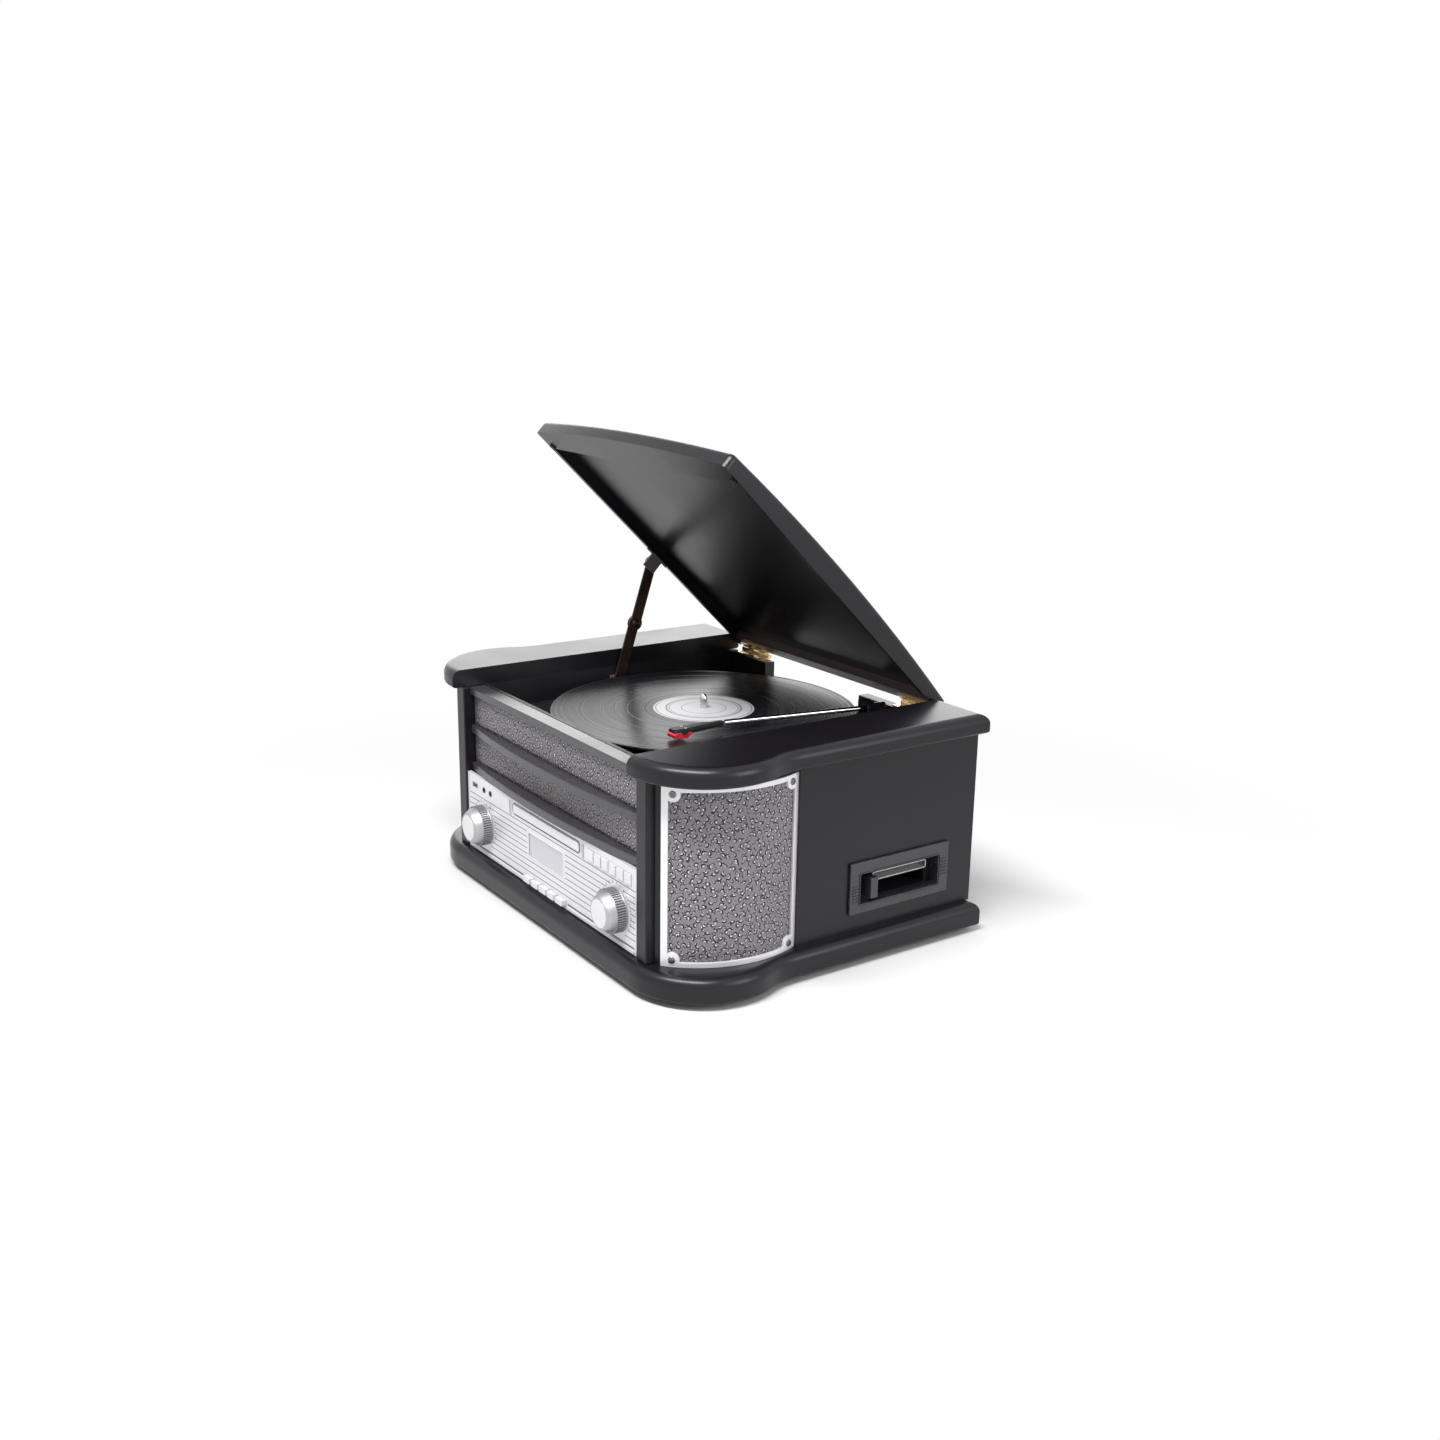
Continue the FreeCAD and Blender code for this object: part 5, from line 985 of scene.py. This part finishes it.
hoop(rough, *port_inside, port_round, port_wall, -port_floor, port_proud,
     facing_front(stick_port_x, panel_face, port_z))
finished(rough, "port_shell", bright_steel, "cabinet", "bright_screw")
rough = bmesh.new()
slab(rough, round_box(*tongue_half, port_round), -port_floor, -tongue_sunk,
     facing_front(stick_port_x, panel_face, port_z + tongue_rise))
for x in front_jack_x:
    lathe(rough, front_jack_profile, (x, panel_face, port_z), forwards, small_steps)
finished(rough, "port_tongue_and_jacks", black_plastic, "cabinet", "silver_panel")

# Knobs: turned aluminium cones with a fine ribbed skirt and a pale spun face. A dark ring under the ribs is
# painted shade between them. They push on to the shafts of the controls behind the panel, which a green
# circuit board carries.
knob_low, knob_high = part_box("volume_knob")
knob_length = knob_high.y - knob_low.y
skirt_back = 16.8 * mm
skirt_radius = 20.5 * mm
face_radius = 14.5 * mm
shaft_radius = 3.0 * mm
knob_steps = 96
rib_count = 54
rib_size = (0.9 * mm, 1.1 * mm, 9.0 * mm)
rib_start = skirt_back + 0.8 * mm
rib_end = skirt_back + 9.4 * mm
rib_radius = skirt_radius - 0.55 * mm

# Lathe marks: fine rings of shine and depth about the third axis of the pattern.
lathe_marks, enter, leave = shader_group("lathe_marks", ("Spacing",), ("Ring", "Height"))
turned_axes = split_axes(lathe_marks, enter.outputs["Vector"])
from_axis = flat_length(lathe_marks, turned_axes["X"], turned_axes["Y"])
ring_rank = reckon(lathe_marks, "DIVIDE", from_axis, enter.outputs["Spacing"])
ring_spot = lathe_marks.nodes.new("ShaderNodeCombineXYZ")
lathe_marks.links.new(ring_rank, ring_spot.inputs["X"])
lathe_marks.links.new(full_range(lathe_marks, noise(lathe_marks, ring_spot.outputs[0], 0.35)),
                      leave.inputs["Ring"])
lathe_marks.links.new(noise(lathe_marks, ring_spot.outputs[0], 1.0, 1.0), leave.inputs["Height"])


def turned_finish(name, colour, shine, spacing, depth, centre, turn=(0.0, 0.0, 0.0), metallic=1.0,
                  drift=0.05, both_sides=False):
    """A finish with lathe marks about an axis through a centre, on both sides of the model if asked."""
    made, tree, shader = new_material(name)
    place = object_place(tree)
    if both_sides:
        sides = split_axes(tree, place)
        folded = tree.nodes.new("ShaderNodeCombineXYZ")
        feed(tree, reckon(tree, "ABSOLUTE", sides["X"]), folded.inputs["X"])
        feed(tree, sides["Y"], folded.inputs["Y"])
        feed(tree, sides["Z"], folded.inputs["Z"])
        place = folded.outputs[0]
    marks = use_group(tree, lathe_marks, own_axes(tree, place, centre, turn), Spacing=spacing)
    lay_finish(tree, shader, marks.outputs["Ring"], marks.outputs["Height"], colour, shine, depth, metallic,
               drift)
    return made


knob_centre = (knob_x, knob_low.y, knob_z)
knob_turn = (math.pi / 2, 0.0, 0.0)
spun_aluminium = turned_finish("spun_aluminium", colour=(0.47, 0.465, 0.48), shine=(0.38, 0.50),
                               spacing=0.25 * mm, depth=0.006 * mm, centre=knob_centre, turn=knob_turn,
                               drift=0.14, both_sides=True)
pale_face = turned_finish("pale_face", colour=(0.70, 0.69, 0.70), shine=(0.34, 0.46), spacing=0.4 * mm,
                          depth=0.004 * mm, centre=knob_centre, turn=knob_turn, metallic=0.2, drift=0.03,
                          both_sides=True)
dress(coated("green_board", colour=(0.03, 0.16, 0.07), shine=(0.3, 0.5), patches=60.0, pebble=2600.0,
             depth=0.01 * mm), "circuit_board")
barrel_profile = [(0.0, 0.0), (shaft_radius, 0.0), (shaft_radius, skirt_back),
                  (skirt_radius - 0.3 * mm, skirt_back), (skirt_radius, skirt_back + 0.3 * mm),
                  (skirt_radius - 0.2 * mm, rib_start), (skirt_radius - 1.2 * mm, rib_start),
                  (skirt_radius - 1.2 * mm, rib_end), (face_radius + 0.7 * mm, knob_length - 1.4 * mm),
                  (face_radius, knob_length - 0.5 * mm), (face_radius - 0.7 * mm, knob_length - 0.1 * mm),
                  (face_radius - 1.4 * mm, knob_length - 0.3 * mm), (0.0, knob_length - 0.3 * mm)]
face_profile = [(0.0, knob_length - 0.6 * mm), (face_radius - 1.5 * mm, knob_length - 0.6 * mm),
                (face_radius - 1.8 * mm, knob_length - 0.1 * mm), (face_radius - 3.2 * mm, knob_length),
                (0.0, knob_length - 0.15 * mm)]
rib_shade_profile = [(skirt_radius - 2.2 * mm, rib_start), (skirt_radius - 0.45 * mm, rib_start),
                  (skirt_radius - 0.45 * mm, rib_end), (skirt_radius - 2.2 * mm, rib_end)]


def knob_turning(knob, side, ending, profile, finish, *replaced):
    """One turned piece of a knob."""
    rough = bmesh.new()
    lathe(rough, profile, (side * knob_x, knob_high.y, knob_z), forwards, knob_steps)
    finished(rough, knob + ending, finish, knob, "turned_aluminium", *replaced)


for side, knob in ((1, "volume_knob"), (-1, "tuning_knob")):
    knob_turning(knob, side, "_barrel", barrel_profile, spun_aluminium, knob)
    knob_turning(knob, side, "_face", face_profile, pale_face)
    # A dark ring under the ribs: painted shade between them.
    knob_turning(knob, side, "_groove", rib_shade_profile, dark_ink_and_shade)
    grown(knob + "_ribs", rings_tree, knob, "turned_aluminium", Count=rib_count, Radius=rib_radius,
          Centre=(side * knob_x, knob_high.y - (rib_start + rib_end) / 2, knob_z), Size=rib_size,
          Lowest=-skirt_radius, Finish=spun_aluminium)

# Turntable deck: a black moulded tray with a fine grain, let into the top between the wings. The selector
# on it is a small knob of the same plastic.
dress(black_plastic, "turntable_deck")
speed_knob_edge = 0.5 * mm
softened("speed_selector", "speed_knob", speed_knob_edge, black_plastic, "speed_selector", "black_plastic")

# Platter, bearing and drive: a turned aluminium platter that runs in a brass bush and is driven by a belt
# from a brass pulley. Its steel centre pin has a rounded nose for the record's hole.
spindle_low, spindle_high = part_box("spindle")
platter_axis = ((spindle_low.x + spindle_high.x) / 2, (spindle_low.y + spindle_high.y) / 2)
platter_centre = (*platter_axis, 0.0)
dress(turned_finish("platter_metal", colour=(0.62, 0.62, 0.63), shine=(0.24, 0.38), spacing=0.5 * mm,
                    depth=0.01 * mm, centre=platter_centre), "platter")
brass = grained("brass", colour=(0.70, 0.55, 0.33), shine=(0.14, 0.28), along=60.0, across=1800.0,
                depth=0.004 * mm, drift=0.1)
dress(brass, "platter_bearing", "motor_pulley")
spindle_radius = (spindle_high.x - spindle_low.x) / 2
nose = 6.0 * mm
rough = bmesh.new()
lathe(rough, [(0.0, spindle_low.z), (spindle_radius, spindle_low.z), (spindle_radius, spindle_high.z - nose),
              (0.85 * spindle_radius, spindle_high.z - 0.5 * nose),
              (0.55 * spindle_radius, spindle_high.z - 0.15 * nose), (0.0, spindle_high.z)], platter_centre)
finished(rough, "centre_pin", bright_steel, "platter", "steel", "spindle", crease=50.0)

# Record: a pressed vinyl disc with a raised edge bead, bands of grooves with smooth gaps between them, and
# a pale paper label pressed into its middle.
record_low, record_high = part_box("record")
record_radius = (record_high.x - record_low.x) / 2
record_under = record_low.z
record_top = record_high.z
hole_radius = spindle_radius + 0.2 * mm
label_radius = 50.0 * mm
label_thickness = 0.25 * mm
label_seat = record_top - 0.4 * mm
label_under = record_top - 0.42 * mm
band_edges = (58.0 * mm, 76.0 * mm, 94.0 * mm, 113.0 * mm, 130.0 * mm, 146.5 * mm)
gap_half = 0.6 * mm
groove_drop = 0.12 * mm
record_steps = 192
vinyl_dark = (0.006, 0.006, 0.008, 1.0)
vinyl_light = (0.012, 0.012, 0.015, 1.0)
vinyl_shine = (0.24, 0.34)
groove_spacing = 0.9 * mm
groove_relief = 0.0015 * mm
record_profile = [(hole_radius, record_under), (record_radius - 0.8 * mm, record_under),
                  (record_radius - 0.2 * mm, record_under + 0.4 * mm),
                  (record_radius, record_under + 0.9 * mm), (record_radius - 0.3 * mm, record_top - 0.2 * mm),
                  (record_radius - 1.0 * mm, record_top), (record_radius - 2.6 * mm, record_top - 0.25 * mm)]
for edge in reversed(band_edges):
    record_profile += [(edge + gap_half, record_top - 2 * groove_drop),
                       (edge, record_top - 2.6 * groove_drop),
                       (edge - gap_half, record_top - 2 * groove_drop)]
record_profile += [(label_radius + 0.6 * mm, record_top - 2 * groove_drop), (label_radius, label_seat),
                   (hole_radius, label_seat)]
vinyl, tree, shader = new_material("vinyl")
disc_place = own_axes(tree, object_place(tree), platter_centre)
marks = use_group(tree, lathe_marks, disc_place, Spacing=groove_spacing)
feed(tree, blend_colour(tree, marks.outputs["Ring"], vinyl_dark, vinyl_light), shader.inputs["Base Color"])
feed(tree, spread(tree, marks.outputs["Ring"], *vinyl_shine), shader.inputs["Roughness"])
shader.inputs["Anisotropic"].default_value = 0.75
shader.inputs["Specular IOR Level"].default_value = 0.3
along_groove = tree.nodes.new("ShaderNodeVectorTransform")
along_groove.vector_type = "VECTOR"
feed(tree, vector_step(tree, "CROSS_PRODUCT", disc_place, (0.0, 0.0, 1.0)), along_groove.inputs[0])
feed(tree, vector_step(tree, "NORMALIZE", along_groove.outputs[0]), shader.inputs["Tangent"])
relief(tree, shader, marks.outputs["Height"], groove_relief)
rough = bmesh.new()
lathe(rough, record_profile, platter_centre, steps=record_steps)
finished(rough, "record_disc", vinyl, "platter", "vinyl", "record", crease=1.5)

label_colour = (0.56, 0.555, 0.57)
label_shine = (0.42, 0.6)
label_relief = 0.01 * mm
label_steps = 96
label_rings = ((22.0 * mm, 0.9 * mm), (34.0 * mm, 0.9 * mm), (37.0 * mm, 2.2 * mm), (47.5 * mm, 1.2 * mm))
label_paper, tree, shader = new_material("label_paper")
place = object_place(tree)
fibre = noise(tree, place, 900.0, 3.0)
spot_axes = split_axes(tree, vector_step(tree, "SUBTRACT", place, platter_centre))
label_reach = flat_length(tree, spot_axes["X"], spot_axes["Y"])
printed = blend_colour(tree, fibre, shade(label_colour, 0.93), shade(label_colour, 1.07))
for ring_radius, ring_width in label_rings:
    off_ring = apart(tree, label_reach, ring_radius)
    on_ring = spread(tree, off_ring, 1.0, 0.0, 0.4 * ring_width, 0.6 * ring_width)
    printed = blend_colour(tree, on_ring, printed, shade(label_colour, 0.42))
feed(tree, printed, shader.inputs["Base Color"])
feed(tree, spread(tree, fibre, *label_shine), shader.inputs["Roughness"])
relief(tree, shader, fibre, label_relief)
rough = bmesh.new()
lathe(rough, [(hole_radius, label_under), (label_radius - 0.1 * mm, label_under),
              (label_radius - 0.1 * mm, label_under + 0.6 * label_thickness),
              (label_radius - 0.6 * mm, label_under + label_thickness),
              (hole_radius, label_under + label_thickness)], platter_centre, steps=label_steps)
finished(rough, "record_label", label_paper, "platter", "vinyl")

# Tone arm: a chromed tube in a black yoke on a black pedestal. The pick-up at its end is a tapered black
# shell with a finger lift, and a red stylus wedge clips into its underside.
shell_low, shell_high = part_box("headshell")
stylus_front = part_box("stylus")[0].y
shell_x = (shell_low.x + shell_high.x) / 2
shell_edge = 0.7 * mm
shell_top = shell_high.z - 0.9 * mm
cap_under = shell_high.z - 1.4 * mm
cap_slimmer = 0.3
cap_shorter = 0.015
cap_edge = 0.3 * mm
lift_path = ((6.6 * mm, 0.0), (8.2 * mm, 0.1 * mm), (9.4 * mm, 0.5 * mm), (10.2 * mm, 1.1 * mm))
lift_drop = 3.0 * mm
lift_thickness = 0.9 * mm
lift_half = 3.0 * mm
lift_y = shell_low.y + 9.0 * mm
upwards = (0.0, 0.0, 1.0)
dress(black_plastic, "tonearm_base", "tonearm_gimbal")
chrome = coated("chrome", colour=(0.78, 0.78, 0.79), shine=(0.07, 0.14), patches=60.0, pebble=2600.0,
                depth=0.002 * mm, metallic=1.0, drift=0.03)
dress(chrome, "tonearm_tube")
shell_half = [(3.0 * mm, shell_high.y), (4.2 * mm, shell_high.y - 16.0 * mm),
              (7.2 * mm, shell_low.y + 17.0 * mm), (7.2 * mm, shell_low.y + 2.0 * mm),
              (5.4 * mm, shell_low.y)]
shell_outline = [(shell_x - half, y) for half, y in shell_half]
shell_outline += [(shell_x + half, y) for half, y in reversed(shell_half)]
rough = bmesh.new()
slab(rough, shell_outline, shell_low.z, shell_top)
finished(rough, "pickup_shell", black_plastic, "tonearm", "black_plastic", "headshell", edge=shell_edge)
rough = bmesh.new()
slab(rough, [(x + (shell_x - x) * cap_slimmer, y * (1 - cap_shorter) + shell_low.y * cap_shorter)
             for x, y in shell_outline], cap_under, shell_high.z)
lift_line = [(shell_x + x, shell_high.z - lift_drop + z) for x, z in lift_path]
lift_outline = lift_line + [(x, z - lift_thickness) for x, z in reversed(lift_line)]
slab(rough, lift_outline, -lift_half, lift_half, facing_front(0.0, lift_y, 0.0))
finished(rough, "pickup_top_and_lift", black_plastic, "tonearm", "black_plastic", edge=cap_edge)
shell_head = cross_head("shell_screw_head", radius=1.5 * mm, height=0.7 * mm)
shell_screw_x = 3.4 * mm
shell_screw_y = shell_low.y + 13.0 * mm
shell_screw_z = shell_high.z - 0.2 * mm
screws("pickup_screws", [((shell_x + side * shell_screw_x, shell_screw_y, shell_screw_z), upwards)
                         for side in (-1, 1)], shell_head, bright_steel, "tonearm", "chrome_tube", seed=5)

# The stylus wedge is a slightly clear red moulding with the needle's pin under it.
red_dark = (0.56, 0.016, 0.032, 1.0)
red_light = (0.70, 0.035, 0.055, 1.0)
red_shine = (0.22, 0.32)
red_relief = 0.006 * mm
red_plastic, tree, shader = new_material("red_plastic")
skin = use_group(tree, coat_skin, object_place(tree), Patches=90.0, Pebble=3000.0)
feed(tree, blend_colour(tree, skin.outputs["Patch"], red_dark, red_light), shader.inputs["Base Color"])
feed(tree, spread(tree, skin.outputs["Patch"], *red_shine), shader.inputs["Roughness"])
shader.inputs["Subsurface Weight"].default_value = 0.1
shader.inputs["Subsurface Scale"].default_value = 2.0 * mm
relief(tree, shader, skin.outputs["Height"], red_relief)
wedge_front = stylus_front - 1.0 * mm
wedge_rear = wedge_front + 17.5 * mm
wedge_x = (shell_x - 6.0 * mm, shell_x + 7.9 * mm)
wedge_edge = 0.35 * mm
wedge_side = [(wedge_front, shell_low.z - 2.8 * mm), (wedge_front + 13.0 * mm, shell_low.z - 3.8 * mm),
              (wedge_rear, shell_low.z - 1.0 * mm), (wedge_rear, shell_low.z + 1.6 * mm),
              (wedge_front + 2.0 * mm, shell_low.z + 2.4 * mm),
              (wedge_front - 1.0 * mm, shell_low.z + 0.6 * mm)]
pin_profile = [(0.0, -1.2 * mm), (0.25 * mm, -0.6 * mm), (0.5 * mm, 0.4 * mm), (0.0, 0.4 * mm)]
pin_place = (shell_x, stylus_front + 4.0 * mm, shell_low.z - 3.2 * mm)


def facing_right(x, y, z):
    """A place whose outline lies upright, seen from the right, and whose height comes to the right."""
    return Matrix.Translation((x, y, z)) @ Matrix(((0.0, 0.0, 1.0, 0.0), (1.0, 0.0, 0.0, 0.0),
                                                   (0.0, 1.0, 0.0, 0.0), (0.0, 0.0, 0.0, 1.0)))


rough = bmesh.new()
slab(rough, wedge_side, *wedge_x, facing_right(0.0, 0.0, 0.0))
lathe(rough, pin_profile, pin_place, steps=12)
finished(rough, "stylus_wedge", red_plastic, "tonearm", "red_plastic", "stylus", edge=wedge_edge)

# Cassette slot: a black moulded bezel with a raised inner lip and a few fine ridges at both ends, a flap
# with a pale printed outline, and a wide key beside it.
bezel_low, bezel_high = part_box("cassette_bezel")
door_low, door_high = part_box("cassette_door")
bezel_edge = 0.8 * mm
flap_edge = 0.4 * mm
ridge_count = 6
ridge_size = (1.8 * mm, 6.8 * mm, 1.2 * mm)
ridge_step = 3.0 * mm
ridge_inset = 6.2 * mm
ridge_edge = 0.3 * mm
front_ridge_z = 58.0 * mm
rear_ridge_z = 64.0 * mm
slot_centre = (80.0 * mm, 69.25 * mm)
slot_half = (47.3 * mm, 15.0 * mm)
slot_round = 1.5 * mm
slot_lip_width = 1.0 * mm
slot_lip_sunk = 1.5 * mm
slot_lip_proud = 0.9 * mm
print_half = (31.5 * mm, 3.2 * mm)
print_round = 1.4 * mm
print_width = 0.75 * mm
print_sunk = 0.2 * mm
print_proud = 0.12 * mm
print_middle = ((door_low.y + door_high.y) / 2, door_low.z + 4.8 * mm)
bezel_grey = coated("bezel_grey", colour=(0.020, 0.019, 0.022), shine=(0.22, 0.30), patches=30.0,
                    pebble=3000.0, depth=0.008 * mm, mirror=0.7)
softened("cassette_bezel", "slot_bezel", bezel_edge, bezel_grey, "cabinet", "black_plastic")
for name, ridge_y, ridge_z in (("front_ridges", bezel_low.y + ridge_inset, front_ridge_z),
                               ("rear_ridges", bezel_high.y - ridge_inset, rear_ridge_z)):
    grown(name, rows_tree, "cabinet", "black_plastic", edge=ridge_edge, Count=ridge_count,
          Start=(bezel_high.x, ridge_y, ridge_z), Step=(0.0, 0.0, ridge_step), Size=ridge_size,
          Finish=bezel_grey)
rough = bmesh.new()
hoop(rough, *slot_half, slot_round, slot_lip_width, -slot_lip_sunk, slot_lip_proud,
     facing_right(bezel_high.x, *slot_centre))
finished(rough, "slot_lip", bezel_grey, "cabinet", "black_plastic", edge=ridge_edge)
softened("cassette_door", "slot_flap", flap_edge, bezel_grey, "cassette_door", "black_plastic")
white_print = coated("white_print", colour=(0.62, 0.62, 0.63), shine=(0.4, 0.5), patches=160.0,
                     pebble=4000.0, depth=0.002 * mm)
rough = bmesh.new()
hoop(rough, *print_half, print_round, print_width, -print_sunk, print_proud,
     facing_right(door_high.x, *print_middle))
finished(rough, "flap_outline", white_print, "cassette_door", "black_plastic")
softened("cassette_key", "slot_key", bezel_edge, bezel_grey, "cassette_key", "black_plastic")
dress(black_plastic, "cassette_transport")

# Rear sockets: a black moulded plate with two turned jacks, an inlet with two pins for the mains lead, and
# four small screws.
socket_low, socket_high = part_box("rear_sockets")
socket_face = 172.5 * mm
socket_screw_inset = 3.6 * mm
rear_jack_x = 159.4 * mm
rear_jack_levels = (56.6 * mm, 73.4 * mm)
rear_jack_profile = [(2.2 * mm, 0.0), (5.6 * mm, 0.0), (5.6 * mm, 0.8 * mm), (5.0 * mm, 1.4 * mm),
                     (4.35 * mm, 1.4 * mm), (4.35 * mm, 8.8 * mm), (2.2 * mm, 8.8 * mm)]
inlet_middle = (124.0 * mm, 65.0 * mm)
inlet_pin_x = 3.4 * mm
inlet_pin_profile = [(0.0, -8.8 * mm), (1.1 * mm, -8.8 * mm), (1.1 * mm, -1.4 * mm), (0.5 * mm, -0.6 * mm),
                     (0.0, -0.6 * mm)]
dress(black_plastic, "rear_sockets")
rough = bmesh.new()
for level in rear_jack_levels:
    lathe(rough, rear_jack_profile, (rear_jack_x, socket_face, level), backwards, small_steps)
for side in (-1, 1):
    lathe(rough, inlet_pin_profile, (inlet_middle[0] + side * inlet_pin_x, socket_face, inlet_middle[1]),
          backwards, steps=16)
finished(rough, "jack_collars_and_pins", bright_steel, "cabinet", "bright_screw")
socket_corners = [(x, z) for z in (socket_low.z + socket_screw_inset, socket_high.z - socket_screw_inset)
                  for x in (socket_low.x + socket_screw_inset, socket_high.x - socket_screw_inset)]
socket_head = cross_head("socket_screw_head", radius=2.0 * mm, height=0.8 * mm)
screws("socket_screws", [((x, socket_face, z), backwards) for x, z in socket_corners], socket_head,
       black_zinc, "cabinet", "bright_screw", seed=9)

# Lid: a crowned board of the same painted fibreboard, hollowed on its underside and routed round along its
# edges. It turns on two hinges at its rear edge.
rough = bmesh.new()
rough.from_mesh(nodes["lid_panel"].data)
finished(rough, "lid_board", black_paint, "lid", "black_wood", "lid_panel", even=True)

# Lid strip and hinges: a dark stained wood strip under the lid's rear edge takes two brass butt hinges,
# each held by three small screws in either leaf.
hinge_line = Vector((0.0, 173.5 * mm, 198.25 * mm))
lid_opening = 44.25
lid_turn = Matrix.Rotation(-math.radians(lid_opening), 3, "X")
leaf_screw_x = (118.0 * mm, 135.0 * mm, 152.0 * mm)
leaf_screw_y = 165.5 * mm
cabinet_leaf_top = 197.2 * mm
lid_leaf_under = 199.3 * mm
brown_wood = grained("brown_wood", colour=(0.045, 0.028, 0.024), shine=(0.30, 0.46), along=9.0,
                     across=420.0, depth=0.04 * mm, metallic=0.0, drift=0.45)
dress(brown_wood, "lid_rear_strip")
dress(brass, "cabinet_hinge_leaves", "lid_hinge_leaves")
leaf_head = cross_head("leaf_screw_head", radius=2.1 * mm, height=0.55 * mm)
leaf_spots = [side * x for side in (-1, 1) for x in leaf_screw_x]
screws("cabinet_leaf_screws", [((x, leaf_screw_y, cabinet_leaf_top), upwards) for x in leaf_spots],
       leaf_head, brass, "cabinet", "brass", seed=11)
lid_spots = []
for x in leaf_spots:
    spot_shut = Vector((x, leaf_screw_y, lid_leaf_under))
    lid_spots.append((hinge_line + lid_turn @ (spot_shut - hinge_line), -(lid_turn @ Vector(upwards))))
screws("lid_leaf_screws", lid_spots, leaf_head, brass, "lid", "brass", seed=13)

# Folding stay: two flat strips of bronzed steel, riveted at the elbow, between a plate on the left wall
# and an angle under the lid.
stay_edge = 0.5 * mm
rivet_radius = 4.6 * mm
rivet_height = 1.5 * mm
rivet_sunk = 0.6 * mm
bronze = grained("bronze", colour=(0.075, 0.048, 0.036), shine=(0.28, 0.42), along=30.0, across=700.0,
                 depth=0.01 * mm, metallic=0.9, drift=0.2, turn=(0.0, 0.0, math.pi / 2))
worn_bronze = grained("worn_bronze", colour=(0.20, 0.185, 0.18), shine=(0.34, 0.46), along=60.0,
                      across=900.0, depth=0.01 * mm, metallic=0.3, drift=0.2)
dress(worn_bronze, "stay_wall_bracket", "stay_lid_bracket")
softened("stay_lower_arm", "stay_lower_strip", stay_edge, bronze, "stay_lower", "bronze_metal")
softened("stay_upper_arm", "stay_upper_strip", stay_edge, bronze, "stay_upper", "bronze_metal")
stay_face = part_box("stay_upper_arm")[1].x
stay_pivot = Vector((0.0, 12.3 * mm, 179.0 * mm))
stay_arm = 66.011 * mm
stay_lean = math.radians(72.375)
elbow = stay_pivot + stay_arm * Vector((0.0, math.cos(stay_lean), math.sin(stay_lean)))
rivet_dome = [(0.0, -rivet_sunk), (rivet_radius, -rivet_sunk), (rivet_radius, 0.2 * mm),
              (0.85 * rivet_radius, 0.65 * rivet_height), (0.5 * rivet_radius, 0.93 * rivet_height),
              (0.0, rivet_height)]
rough = bmesh.new()
lathe(rough, rivet_dome, (stay_face - rivet_sunk, elbow.y, elbow.z), (1.0, 0.0, 0.0), small_steps)
finished(rough, "elbow_rivet", bronze, "stay_upper", "bronze_metal")
